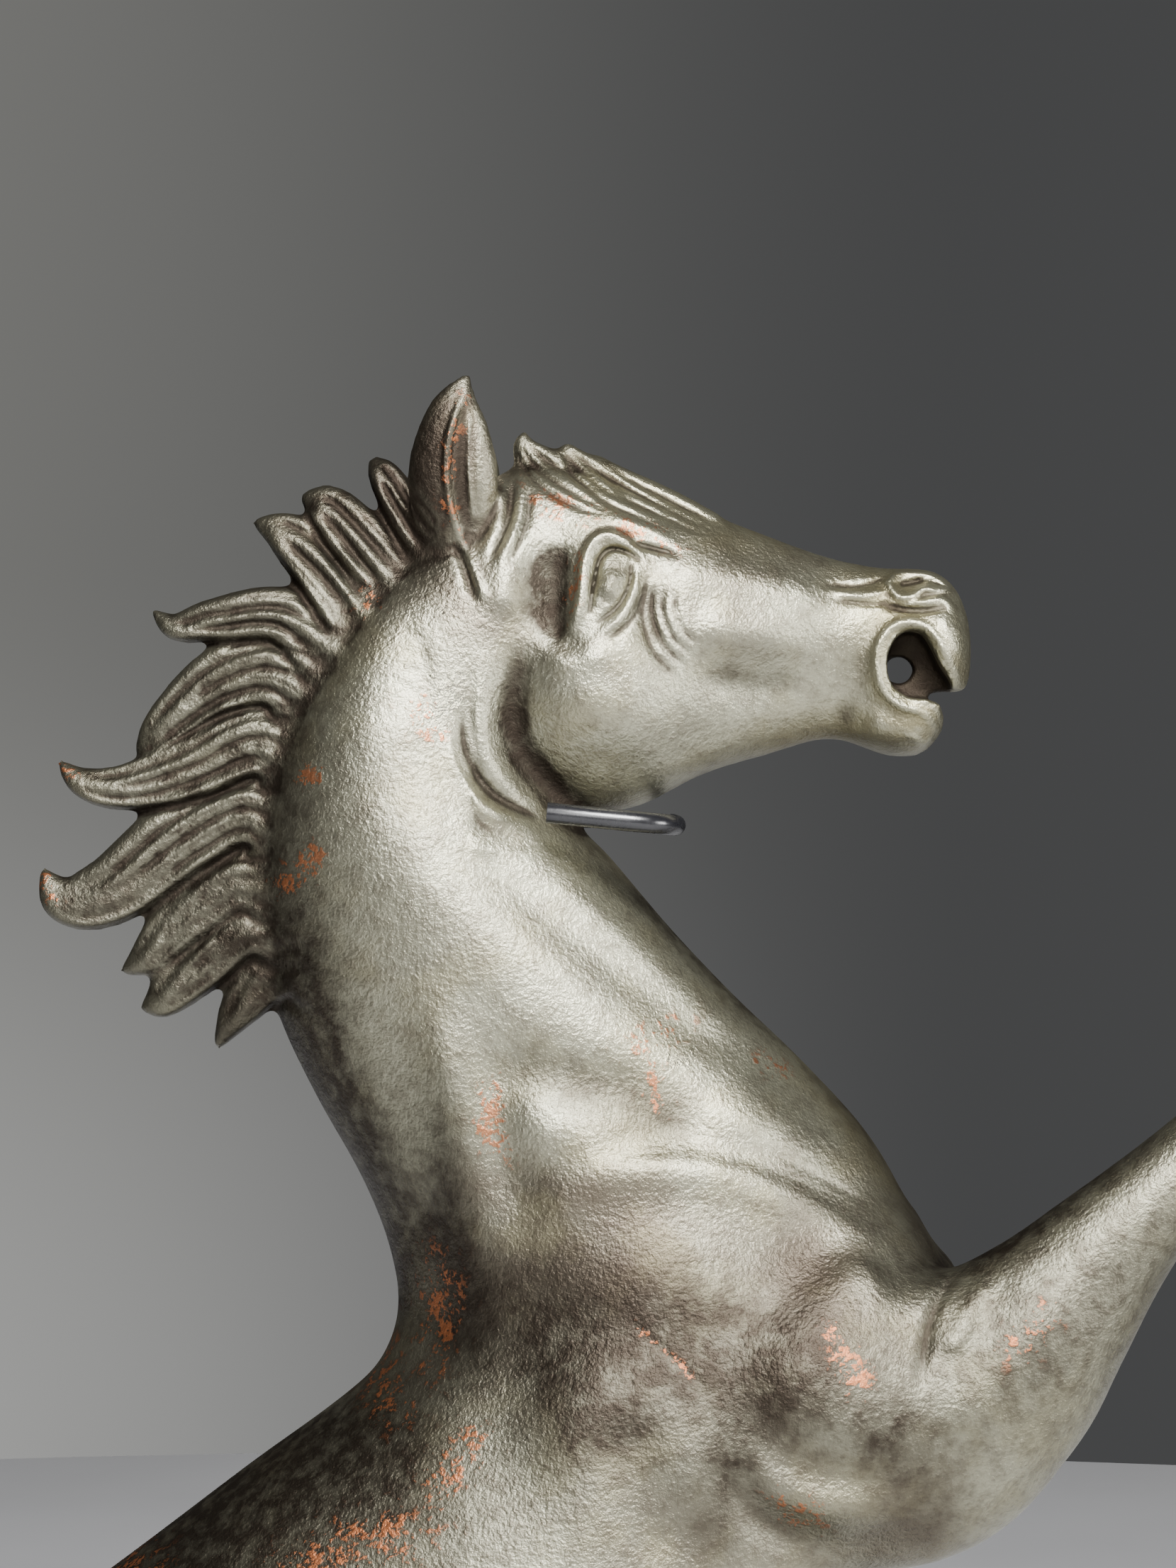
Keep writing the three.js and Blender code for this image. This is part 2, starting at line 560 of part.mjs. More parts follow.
function receiver() {
  const half = point(RECEIVER.length / 2, 0, 0);
  const along = (radius, extra) => bar(
    RECEIVER_AT.clone().sub(half).sub(extra), RECEIVER_AT.clone().add(half).add(extra), radius, 20);
  const armHole = bar(RECEIVER_AT.clone().add(point(0, RECEIVER.bore + GAP, 0)),
    RECEIVER_AT.clone().add(point(0, 6, 0)), 1 + GAP, 12);
  const screwHole = bar(RECEIVER_AT, RECEIVER_AT.clone().add(point(0, 0, 6)), GRUB_SCREW.radius + GAP, 12);
  return along(RECEIVER.outer, point(0, 0, 0))
    .subtract(along(RECEIVER.bore, point(1, 0, 0)))
    .subtract(armHole)
    .subtract(screwHole);
}

function grubScrew() {
  const foot = RECEIVER_AT.clone().add(point(0, 0, CLIP.rod + GAP));
  const head = foot.clone().add(point(0, 0, GRUB_SCREW.length));
  const recess = bar(head.clone().add(point(0, 0, -0.7)), head.clone().add(point(0, 0, 1)), GRUB_SCREW.recess, 6);
  return bar(foot, head, GRUB_SCREW.radius, 16).subtract(recess);
}

// The route of the clip's rod, in from the far side, round the front of the throat and back along
// the near side, where it rises a little. It can start part of the way along the front.
function clipRoute(startY, endX) {
  const { z, farY, nearY, frontX, corner } = CLIP;
  const rise = (x) => z + (frontX - x) * 0.1;
  const route = new THREE.CurvePath();
  if (startY > farY - corner) {
    const turn = point(frontX - corner, farY, z);
    route.add(new THREE.LineCurve3(point(POST.x - 5, farY, z), turn));
    route.add(new THREE.QuadraticBezierCurve3(turn, point(frontX, farY, z), point(frontX, farY - corner, z)));
  }
  const bend = point(frontX, nearY + corner, z);
  const along = point(frontX - corner, nearY, rise(frontX - corner));
  route.add(new THREE.LineCurve3(point(frontX, Math.min(startY, farY - corner), z), bend));
  route.add(new THREE.QuadraticBezierCurve3(bend, point(frontX, nearY, rise(frontX)), along));
  route.add(new THREE.LineCurve3(along, point(endX, nearY, rise(endX))));
  return route;
}

function swept(radius, hole, extrudePath, steps) {
  const section = new THREE.Shape().absarc(0, 0, radius, 0, 2 * Math.PI);
  if (hole > 0) section.holes.push(new THREE.Path().absarc(0, 0, hole, 0, 2 * Math.PI, true));
  return solid(new THREE.ExtrudeGeometry(section, { steps, extrudePath, curveSegments: 4 }));
}

function throatRest() {
  piece("support_post", supportPost(), BLACK_STEEL);
  piece("clip_receiver", receiver(), BLACK_STEEL);
  piece("clip_grub_screw", grubScrew(), ZINC);
  piece("throat_clip", swept(CLIP.rod, 0, clipRoute(CLIP.farY, SLEEVE.endX + 1.6), 32), BLACK_STEEL);
  piece("clip_sleeve", swept(SLEEVE.outer, SLEEVE.inner, clipRoute(SLEEVE.startY, SLEEVE.endX), 18), SLEEVE_PLASTIC);
}

castings();
base();
throatRest();

export default statuette;
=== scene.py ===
"""A patinated bronze statuette of a rearing horse, on a stone plinth with a rod rest at its throat."""

import math

import bmesh
import bpy
import numpy as np
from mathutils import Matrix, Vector


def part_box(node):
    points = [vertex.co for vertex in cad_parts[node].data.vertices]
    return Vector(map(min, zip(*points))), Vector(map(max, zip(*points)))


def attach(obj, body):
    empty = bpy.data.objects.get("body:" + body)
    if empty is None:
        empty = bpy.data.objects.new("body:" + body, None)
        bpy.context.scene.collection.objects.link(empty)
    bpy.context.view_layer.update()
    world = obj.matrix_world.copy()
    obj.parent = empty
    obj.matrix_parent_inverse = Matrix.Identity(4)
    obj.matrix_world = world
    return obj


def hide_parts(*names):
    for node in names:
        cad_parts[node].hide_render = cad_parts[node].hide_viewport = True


bl_info = {
    "name": "Rearing horse bronze",
    "version": (1, 0, 0),
    "blender": (4, 5, 0),
    "location": "View3D > Sidebar > Bronze",
    "description": "Models a rearing horse bronze, its plinth and its throat rest round the CAD frame",
    "category": "Object",
}

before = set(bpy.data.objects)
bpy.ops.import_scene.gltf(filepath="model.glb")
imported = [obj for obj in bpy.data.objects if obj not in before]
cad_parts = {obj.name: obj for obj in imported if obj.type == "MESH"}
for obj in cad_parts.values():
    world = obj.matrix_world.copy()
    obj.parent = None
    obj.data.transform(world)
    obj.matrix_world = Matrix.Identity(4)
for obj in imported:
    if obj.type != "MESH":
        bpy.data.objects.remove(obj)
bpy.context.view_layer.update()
MM = 0.001
SIDES = {"left": 1, "right": -1}  # the horse's left is +Y
VIEW_X, VIEW_Z = 0.02922, 0.21738  # the camera looks along +Y at this place on the middle plane

# ---- the horse's measures, in millimetres -------------------------------------------------------
# The masses are seen from the side. Each section is (top x, top z, bottom x, bottom z, half-width,
# belly), and belly above 0 puts the widest part below the middle.

TRUNK = [
    (-60.5, 92, -58, 84, 8, 0),
    (-57, 103, -48, 77, 17, 0),
    (-48, 113.5, -33, 73.5, 22.5, 0),
    (-36.5, 122.5, -15, 75, 24, 0),
    (-23, 132, 5, 81, 24.5, 0.05),
    (-8, 143.3, 24, 90.5, 26, 0.08),
    (5, 153, 42, 104, 26, 0.06),
    (18, 166, 57, 122, 24, 0),
    (38, 176, 65.5, 138, 20, 0),
    (56, 177, 68.5, 152, 14.5, 0),
    (65, 171, 69.5, 160, 8, 0),
]

NECK = [
    (4, 150, 67.5, 150, 21, 0),
    (8.4, 159, 69.6, 163.5, 20, 0),
    (7.9, 166.3, 65.6, 169, 19, 0),
    (4.8, 174.5, 60, 179, 17.5, 0),
    (-0.5, 184, 52.5, 187.4, 16.5, 0),
    (-4.6, 193, 45, 194.6, 15.5, 0),
    (-6.6, 203, 38, 202, 14.5, 0),
    (-7, 213, 31.2, 210, 13.5, 0),
    (-4.8, 222.5, 27, 214, 12.5, 0),
    (-0.5, 231, 26, 219, 11.5, 0),
    (6, 239.5, 27, 225, 11, 0),
    (14, 246.5, 30, 231, 10, 0),
    (20, 249, 33, 236, 8, 0),
]

SKULL = [
    (15, 246, 17.5, 229, 6, 0),
    (19.5, 251, 21, 220, 9.6, 0),
    (26, 252.2, 26, 214.6, 11.4, 0.02),
    (33, 250.6, 34, 214.7, 11.8, 0.04),
    (40, 247.7, 41.5, 218.3, 10.2, 0),
    (47.5, 244.8, 48.5, 220.4, 8.2, -0.1),
    (55, 242.1, 55.5, 222.2, 6.6, -0.1),
    (61, 240.9, 61.4, 220.4, 7, 0),
    (66.4, 240.7, 65.6, 220.6, 7.2, 0),
    (69.3, 238.4, 68.4, 224.4, 6, 0),
    (70.6, 234.6, 70.6, 228.4, 3.6, 0),
]

# A limb's stages are (x, z, radius in the side view, radius across).
FORELEGS = {
    "right": {
        "upper": [(36, 158, 4, 3), (43, 155, 12, 7), (52, 152, 17, 10), (63, 151, 15.8, 9.8),
                  (72, 156, 12.4, 8.8), (78, 161.8, 9.4, 7.8), (84, 168.6, 7, 6.6),
                  (91, 175.8, 5.2, 5.6), (98.6, 182.6, 4.6, 5.2),
                  (101.6, 185, 3.6, 4)],
        "lower": [(100.6, 186, 3.4, 3.8), (103, 181.2, 4.7, 4.8), (105.8, 170.6, 3, 3.2),
                  (107.6, 161.2, 3.7, 3.7), (106, 154.6, 2.9, 3.1), (103.6, 150.2, 4, 4),
                  (101.4, 146, 4.8, 4.8)],
    },
    "left": {
        "upper": [(36, 157, 4, 3), (43, 154, 12, 7), (52, 151, 16, 10), (65, 148.6, 14.6, 9.8),
                  (75.4, 151.4, 10.6, 8.6), (81, 157.4, 7.4, 7.4), (87.6, 165.2, 5.8, 6.2),
                  (95, 172.9, 4.4, 5.2), (105, 181.4, 4.6, 5.2),
                  (107.6, 183.4, 3.6, 4)],
        "lower": [(106.4, 184.4, 3.2, 3.8), (109.4, 179.8, 4.6, 4.8), (114.4, 172.6, 3, 3.2),
                  (119, 165.4, 3.6, 3.7), (119.6, 158.8, 2.9, 3.1), (118.4, 154.2, 4, 4),
                  (117, 150, 4.8, 4.8)],
    },
}
FORELEG_Y = 13.6
HIND_LEG_Y = 13.4
HIND_LAG = {"left": 9, "right": 0}  # how far the hoof is set back


def hind_leg(lag):
    return {
        "thigh": [(-46, 106, 5, 4), (-38, 103, 13, 9), (-26, 97, 18.5, 12), (-8 - lag * 0.3, 88.5, 15, 12),
                  (1.5 - lag * 0.6, 82.4, 9, 9.4), (3.8 - lag * 0.7, 80.4, 5.6, 7)],
        "hamstring": [(-57, 100, 4, 3), (-50, 96.5, 10.5, 7), (-38, 86, 12.5, 9.4),
                      (-22 - lag * 0.6, 76, 8.6, 7.8), (-9 - lag, 67.6, 5.4, 5.4)],
        "shank": [(2.6 - lag * 0.8, 82.2, 5.4, 6.6), (-2.4 - lag, 73.6, 8, 7.4), (-13.4 - lag, 62.8, 5.4, 5),
                  (-18.2 - lag, 55.6, 4.6, 4.3), (-15.6 - lag, 44, 3.1, 3.2), (-12 - lag, 33.6, 3.9, 3.9),
                  (-7.4 - lag, 28.2, 3.2, 3.4), (-4 - lag, 24, 4.6, 4.6), (-1.4 - lag, 19.4, 5.8, 5.4),
                  (-0.6 - lag, 15, 6, 5.6)],
    }


EAR = [(16.6, 240, 1.6, 1.6), (15.7, 243.6, 3.6, 2.4), (14.9, 247.4, 4.7, 2.8), (14.8, 251, 4.9, 2.7),
       (14.9, 254.6, 4.1, 2.3), (15.2, 257.6, 2.9, 1.7), (15.9, 259.9, 1.3, 0.9), (16.8, 261.3, 0.3, 0.3)]

# A lock is (x, z, half-width) along its middle, root first, and ends in a point.
MANE_LOCKS = [
    [(13, 242, 3), (9.5, 247, 2.4), (7, 251, 1.8), (5.6, 252.8, 0.4)],
    [(9, 238, 4), (4.6, 243.6, 3.4), (1, 247.4, 2.6), (-2, 248.6, 0.5)],
    [(6, 235, 5), (1, 240.5, 3.8), (-3.4, 244.4, 2.6), (-7.2, 245.9, 0.4)],
    [(3, 231, 5), (-4, 235.6, 3.2), (-11, 235.2, 2.4), (-15.4, 234.4, 1.6), (-18.2, 236.3, 0.25)],
    [(1, 227, 6), (-5, 230, 4.6), (-11, 228.4, 3.6), (-17, 223.6, 2.2), (-19.6, 220.4, 0.6)],
    [(-1, 220, 6), (-7, 222.2, 4.4), (-14, 219, 3.4), (-21, 217, 2.6), (-25.6, 217.6, 1.7),
     (-28.4, 220, 0.25)],
    [(-2, 212, 6), (-8, 215, 4.6), (-15, 211.6, 4.4), (-22.4, 205.8, 3.9), (-27.6, 205, 2.8),
     (-30.2, 208.4, 0.25)],
    [(-2, 206, 5), (-9, 207, 3.8), (-15, 202.6, 3), (-19, 198.4, 1.8), (-21.6, 196.9, 0.3)],
    [(-1, 201, 5), (-8, 202, 3.8), (-13, 197.6, 3.2), (-17, 194, 2.2), (-19.4, 193, 0.3)],
    [(1, 197, 5), (-4.4, 197.4, 3.6), (-8.4, 193.2, 2.4), (-11.2, 188.6, 0.4)],
]
FORELOCKS = [
    [(31, 247.6, 2.4), (27, 249.8, 2.8), (24, 251.8, 2.5), (22.3, 254, 1.4), (22.4, 255.7, 0.3)],
    [(37, 246.8, 2.2), (32, 249.2, 2.4), (28.8, 251.4, 2), (27.2, 253.4, 1), (27, 254.6, 0.3)],
    [(43, 245, 1.6), (38, 247.4, 1.9), (33.8, 249.6, 1.7), (31, 251.8, 0.9), (30.2, 253.2, 0.3)],
]

TAIL = [(-55, 98, 4.6, 4.4), (-63, 101.6, 4.8, 4.8), (-72, 99, 5.8, 5.6), (-79, 90, 7.4, 6.6),
        (-82.6, 77, 8, 7), (-82, 63, 7.2, 6.4), (-78.4, 50.6, 5, 4.8), (-76, 42, 2.4, 2.6),
        (-78.6, 35.4, 0.4, 0.4)]
TAIL_LOCKS = [
    [(-80, 62, 4), (-84, 52, 3), (-90, 45, 1.4), (-93.2, 45.6, 0.3)],
    [(-78, 56, 4), (-73, 46, 2.6), (-69.8, 38, 1.2), (-71, 34.8, 0.3)],
    [(-72, 100, 4), (-80, 88, 5), (-85.4, 72, 4.2), (-86, 58, 2.6), (-88.6, 51, 0.4)],
]

# The mouth: the hollow inside each cheek, the gap between the lips, and the hole between the teeth.
MOUTH = [(61.3, 229), (61.2, 231), (62, 232.9), (63.4, 233.9), (65.1, 233.5), (66.1, 231.8),
         (67, 229.9), (68.3, 228.1), (67.6, 227.1), (65.6, 226.5), (63.6, 226.6), (62, 227.6)]
LIP_GAP = [(65.8, 227.2), (69.8, 227.4), (78, 229), (78, 218), (68.6, 220.4), (67.7, 222.6), (67.6, 224.6),
           (67, 226.1), (65.8, 226.3)]
TOOTH_GAP = ((62.9, 229.7), 1.5)
MOUTH_WALL = 0.9  # half the thickness of the metal left standing in the mouth

# Where the castings meet: a point on each plane, and its normal.
WAIST = ((-7, 0, 106), (0.862, 0, 0.507))
SHOULDER = ((69, 0, 151), (0.982, 0, -0.191))
STIFLE = ((0, 0, 66), (0, 0, 1))
DOCK = ((-62, 0, 101), (1, 0, 0))
GROUND = 18.0

# Where the figure is also divided, so that no piece of it grows too big.
COLLAR_CUT = 207
NAPE_CUT = 14
CUTS = [WAIST, SHOULDER, STIFLE, DOCK, ((0, 0, GROUND), (0, 0, 1)), ((0, 0, COLLAR_CUT), (0, 0, 1)),
        ((NAPE_CUT, 0, 0), (1, 0, 0)), ((0, 0, 0), (0, 1, 0))]

# ---- modelling strokes --------------------------------------------------------------------------
# Each is (kind, width, height, [(x, z), ...]), drawn on both sides of the horse. A ridge stands
# proud by its height along its line, a fold is a ridge with a steep edge on the right of its line,
# a swell is a broad round rise between its points, and a negative height sinks instead. The strokes
# are laid out on the middle plane and thrown on to the skin from a point well out to that side.

THROW = (29.2, 450, 217.4)

FORMS = [
    # chest, shoulder and neck muscles
    ("swell", 11, 1, [(38, 162), (46, 157)]),
    ("swell", 3.8, 0.75, [(24, 170), (30, 174.4), (39, 175.6), (47, 174), (55, 170.4), (64, 165)]),
    ("swell", 2.8, -0.55, [(28, 177.4), (37, 178.8), (45, 177.6), (53, 174.4), (61, 170.2)]),
    ("swell", 5.6, 1.1, [(42, 183), (49, 180), (56, 175)]),
    ("swell", 4.2, 0.6, [(23.6, 180.4), (29, 179)]),
    ("swell", 4, -0.8, [(33.6, 184), (38, 182)]),
    ("swell", 4.2, -0.8, [(23, 186.4), (28.4, 185)]),
    ("swell", 3.8, -0.8, [(17.6, 192), (19, 184), (20.4, 176), (23.6, 167)]),
    ("swell", 3.6, 0.7, [(13, 192), (14.4, 182), (16.4, 170)]),
    ("swell", 4.6, -1.4, [(11, 170), (12.6, 158)]),
    ("swell", 9, 0.9, [(30, 150), (40, 144)]),
    ("swell", 7, -0.9, [(24, 158), (20, 148), (24, 136)]),
    ("swell", 5, -0.9, [(34, 145), (37, 136)]),
    ("swell", 9, 0.9, [(52, 153), (58, 148)]),
    ("swell", 2.5, 1.15, [(47, 144.4), (50, 140.8), (55, 138.9), (62, 138.6)]),
    ("swell", 2.4, -0.7, [(44.6, 142), (48.6, 137.6), (55, 135), (64, 135.6)]),
    ("swell", 2.6, -0.4, [(51, 145.8), (56, 143.2), (63, 142.4)]),
    ("swell", 5, 0.8, [(72, 150), (78, 158)]),
    ("swell", 4.4, 0.9, [(60, 166), (65, 161.6)]),
    ("swell", 9, 1.1, [(5, 219), (9, 211), (18, 202), (29, 195), (40, 187)]),
    ("swell", 3.2, -0.7, [(15, 210), (23, 204.8), (31.4, 198), (39.4, 192.4)]),
    ("swell", 3.4, 1, [(24, 208), (33, 201.6), (40, 195.6), (47, 188)]),
    ("swell", 2.6, -0.7, [(38, 191.6), (45, 188.6), (51, 184.6), (56, 178.6)]),
    ("swell", 6, 0.7, [(5, 232), (6, 224)]),
    ("swell", 7, -0.7, [(-1, 196), (5, 186), (9, 176)]),
    # barrel and hindquarters
    ("swell", 14, 1.4, [(-24, 104), (-16, 96)]),
    ("swell", 7, -1.3, [(-2, 98), (-6, 108)]),
    ("swell", 9, 1, [(-44, 100), (-38, 90)]),
    ("swell", 5, -0.8, [(-36, 112), (-34, 98), (-24, 82)]),
    ("swell", 3.5, -0.7, [(60, 133), (50, 122), (36, 108)]),
]

HEAD_FORMS = [
    # cheek, face and temple
    ("swell", 6.8, 1.6, [(29.6, 226), (31.8, 224.4)]),
    ("swell", 3.2, 1.1, [(40.6, 234.6), (46, 233.8), (53, 233)]),
    ("swell", 3.6, 0.9, [(41, 240.4), (52, 238)]),
    ("swell", 3.4, -0.8, [(40, 229.8), (47, 228.4), (54, 229.2)]),
    ("swell", 2.2, -0.5, [(46, 243), (56, 240)]),
    ("swell", 3.6, -1.3, [(25.4, 244), (24.6, 238.6), (25, 233)]),
    ("swell", 1.9, -1, [(26.6, 243.6), (26, 238.6), (25.9, 234.6), (27.6, 231.6)]),
    ("swell", 2, 0.7, [(24, 230.8), (28, 231), (32.4, 232.2)]),
    ("swell", 2.4, 0.8, [(20.6, 244), (20.2, 238)]),
    ("swell", 1.9, -0.8, [(36.2, 239.4), (35.8, 235.6), (37, 231.4)]),
    ("swell", 1.9, 0.9, [(67.6, 236.4), (68.6, 233.4), (69.4, 230.6)]),
    ("swell", 2.6, -0.4, [(57.6, 230), (57.6, 225.6)]),
    ("swell", 2.6, 1, [(61, 222.8), (64.4, 222.4)]),
    ("swell", 2.2, 0.6, [(47, 221.8), (40, 218.8), (34, 216.2)]),
    # the folds behind the jaw
    ("swell", 2.3, -1.15, [(22.4, 231), (20.9, 226), (21.6, 221), (24.8, 217.2), (29.6, 214.6)]),
    ("swell", 2, 0.75, [(18.6, 230), (17.8, 224), (19.4, 218.8), (23.8, 215)]),
    ("swell", 1.3, -0.7, [(15.8, 227.6), (16, 221), (18.6, 216.6), (23.8, 213.4)]),
    ("swell", 1.3, 0.5, [(14, 225), (14.4, 219.6), (17.6, 215.2), (23.4, 212.4)]),
    ("swell", 1.4, -0.35, [(12.2, 223), (12.8, 217.6), (16.6, 213.2), (23, 210.6)]),
    ("swell", 1.8, 0.3, [(10, 220.6), (11, 215), (16, 210.8), (23.4, 208.2)]),
]

FINE = [
    # creases in the jaw folds and wrinkles on the neck
    ("fold", 0.8, 0.35, [(24, 212.9), (18.4, 215), (15.2, 219), (14.2, 223)]),
    ("ridge", 0.4, -0.3, [(23.8, 213.7), (18.8, 216.3), (16.1, 220.4), (15.4, 225)]),
    ("swell", 0.9, -0.16, [(8.4, 234.4), (10.8, 233), (12, 230.6)]),
    ("swell", 0.9, -0.16, [(8.6, 232.4), (11, 231), (12.2, 228.6)]),
    ("swell", 0.9, -0.16, [(8.6, 230.4), (11.2, 229), (12.4, 226.6)]),
    ("swell", 0.9, -0.14, [(8.8, 228.4), (11.2, 227), (12.2, 224.6)]),
    # eye: upper lid, the crease inside it, the ball, the lower lid and the marks in front
    ("fold", 0.85, 1, [(35, 242.3), (33.3, 243.9), (31.2, 244.6), (29.5, 243.6), (28.5, 241), (28.2, 238),
                       (27.4, 235), (26.6, 233.6)]),
    ("ridge", 0.34, -0.8, [(35, 241.6), (33.4, 242.6), (31.8, 242.9), (30.5, 241.8), (29.8, 239),
                           (29.4, 236.2)]),
    ("swell", 1.35, 0.85, [(32.1, 240.8), (31.7, 239.2), (30.8, 237.6)]),
    ("ridge", 0.3, -0.5, [(33.9, 241.6), (33.7, 239.2), (32.5, 236.8), (30.3, 235)]),
    ("ridge", 0.5, 0.45, [(34.6, 240.4), (34.2, 238), (32.9, 235.6), (30.4, 233.6)]),
    ("ridge", 0.35, -0.3, [(35.6, 239.6), (35, 237), (33.6, 234.8), (31.4, 233)]),
    ("ridge", 0.6, 0.4, [(31.4, 246.3), (34.4, 245.6), (38.8, 243.6)]),
    ("ridge", 0.4, -0.6, [(34, 243.5), (36.2, 243), (39, 242.2)]),
    ("ridge", 0.34, -0.26, [(35.2, 237.4), (35.2, 234.8), (36.4, 231.6), (38.6, 229.2)]),
    ("ridge", 0.34, -0.26, [(36.2, 238.4), (36.2, 235.6), (37.4, 232.6), (39.6, 230.4)]),
    ("ridge", 0.34, -0.24, [(37.4, 238.6), (37.3, 236), (38.4, 233.4), (40.4, 231.4)]),
    ("ridge", 0.34, -0.2, [(38.8, 238.4), (38.7, 236.2), (39.6, 234), (41.2, 232.6)]),
    # nostril: a loop with a sunk middle, and the wrinkles that lead to it
    ("ridge", 0.42, 0.7, [(61.8, 239.2), (62.8, 240.2), (64.6, 240.4), (66.8, 240), (68.2, 238.8),
                          (67, 238.5), (65.6, 238.6), (64.4, 237.8), (62.8, 237.8), (61.8, 239.2)]),
    ("ridge", 0.4, -0.8, [(63, 239), (64.2, 239.2), (65.8, 239.5)]),
    ("ridge", 0.4, 0.45, [(63.4, 236.9), (65.8, 237.2), (67.8, 237.4), (69, 236)]),
    ("ridge", 0.4, -0.4, [(61, 236.8), (64.6, 236.2), (68, 236.4)]),
    ("ridge", 0.4, 0.35, [(55.6, 238.2), (59, 237.9), (61.8, 238.4)]),
    ("ridge", 0.35, -0.35, [(54.6, 239), (58.4, 238.9), (61.2, 239.6)]),
    ("ridge", 0.35, -0.25, [(56, 237.2), (60, 236.9), (62, 237.2)]),
    # lips
    ("ridge", 0.5, 0.5, [(67.2, 223), (65.6, 225), (63.2, 225.8), (61.3, 227.4), (60.5, 229.8),
                         (60.7, 232.3),
                          (62, 234.3), (64.3, 235), (66.4, 234), (67.8, 231.8), (69.4, 229)]),
    ("swell", 1.1, -0.25, [(65.8, 236.1), (62, 236), (59.6, 233.7), (58.9, 230.4), (59.5, 227.2), (61.6, 225),
                          (64.4, 223.8)]),
    ("ridge", 0.45, 0.35, [(63.8, 222.6), (65.8, 221.8), (66.8, 222.4)]),
    # temple and ear base
    ("ridge", 0.5, 0.4, [(20.2, 250.4), (19.6, 246.6), (17.8, 242.4)]),
    ("ridge", 0.4, -0.4, [(21.1, 250.2), (20.6, 246.2), (18.7, 241.8)]),
    ("ridge", 0.5, 0.35, [(22, 249.8), (21.6, 245.8), (19.6, 241.4)]),
    ("ridge", 0.4, -0.3, [(22.9, 249.4), (22.6, 245.8), (20.8, 241.4)]),
    ("ridge", 0.5, -0.6, [(14.9, 243), (15.8, 241), (16.8, 237.6)]),
    ("ridge", 0.5, 0.4, [(16.2, 242), (16.9, 240.4), (18, 237.4)]),
    # armpit, shoulder scratch
    ("ridge", 0.6, -0.8, [(70.2, 166), (67.4, 161.6), (66, 157.6), (65.3, 152.4)]),
    ("swell", 1.6, 0.6, [(71.6, 162.4), (68.8, 157)]),
    ("ridge", 0.3, -0.2, [(33.5, 159.4), (37, 156.2), (39.6, 154), (42.6, 150.9)]),
    ("fold", 1.5, 0.26, [(62, 167), (54, 172), (46, 175.4), (38, 176.6), (30, 175.6)]),
    ("ridge", 0.3, -0.18, [(48, 178), (54, 175), (60, 171.6)]),
]

EAR_STROKES = [
    ("swell", 1.5, -0.8, [(16.2, 258), (15.7, 253), (15.7, 248.6), (16.3, 244.6)]),
    ("ridge", 0.4, 0.55, [(16.3, 260.4), (14.6, 256.8), (13.9, 252.8), (14.2, 248), (15.6, 243)]),
    ("ridge", 0.25, 0.3, [(16.4, 257.4), (16.2, 252), (16.8, 246)]),
]

# How many times the relief is spread out before it is read, for its fine, broad and deep shapes.
FINE_PASSES, BROAD_PASSES, DEEP_PASSES = 3, 16, 90

# The boxes that some strokes are held to, as (x, distance from the middle plane, z) spans.
HEAD_BOX = ((17, 76), (0, 30), (210, 250))
MANE_BOX = ((-40, 13), (0.5, 40), (186, 253))
FRINGE_BOX = ((21, 46), (0.2, 8), (244, 256))
FINE_BOX = ((-40, 130), (1.5, 40), (100, 250.4))
EAR_BOX = ((9, 20), (4, 12), (241, 262))
MOUTH_BOX = ((60.8, 68.6), (0, 4.4), (226, 234.4))

# Where the mane ends on the neck, as (z, x) places.
MANE_EDGE = [(186, -3), (191, -1), (196, 0), (203, -2), (215, -4), (228, -2), (233, 2), (240, 8), (246, 12),
             (254, 14)]

# What each place on the figure stores about its finish and about the shade painted on it.
STORED = ("proud", "rub", "patina_and_shade", "green")

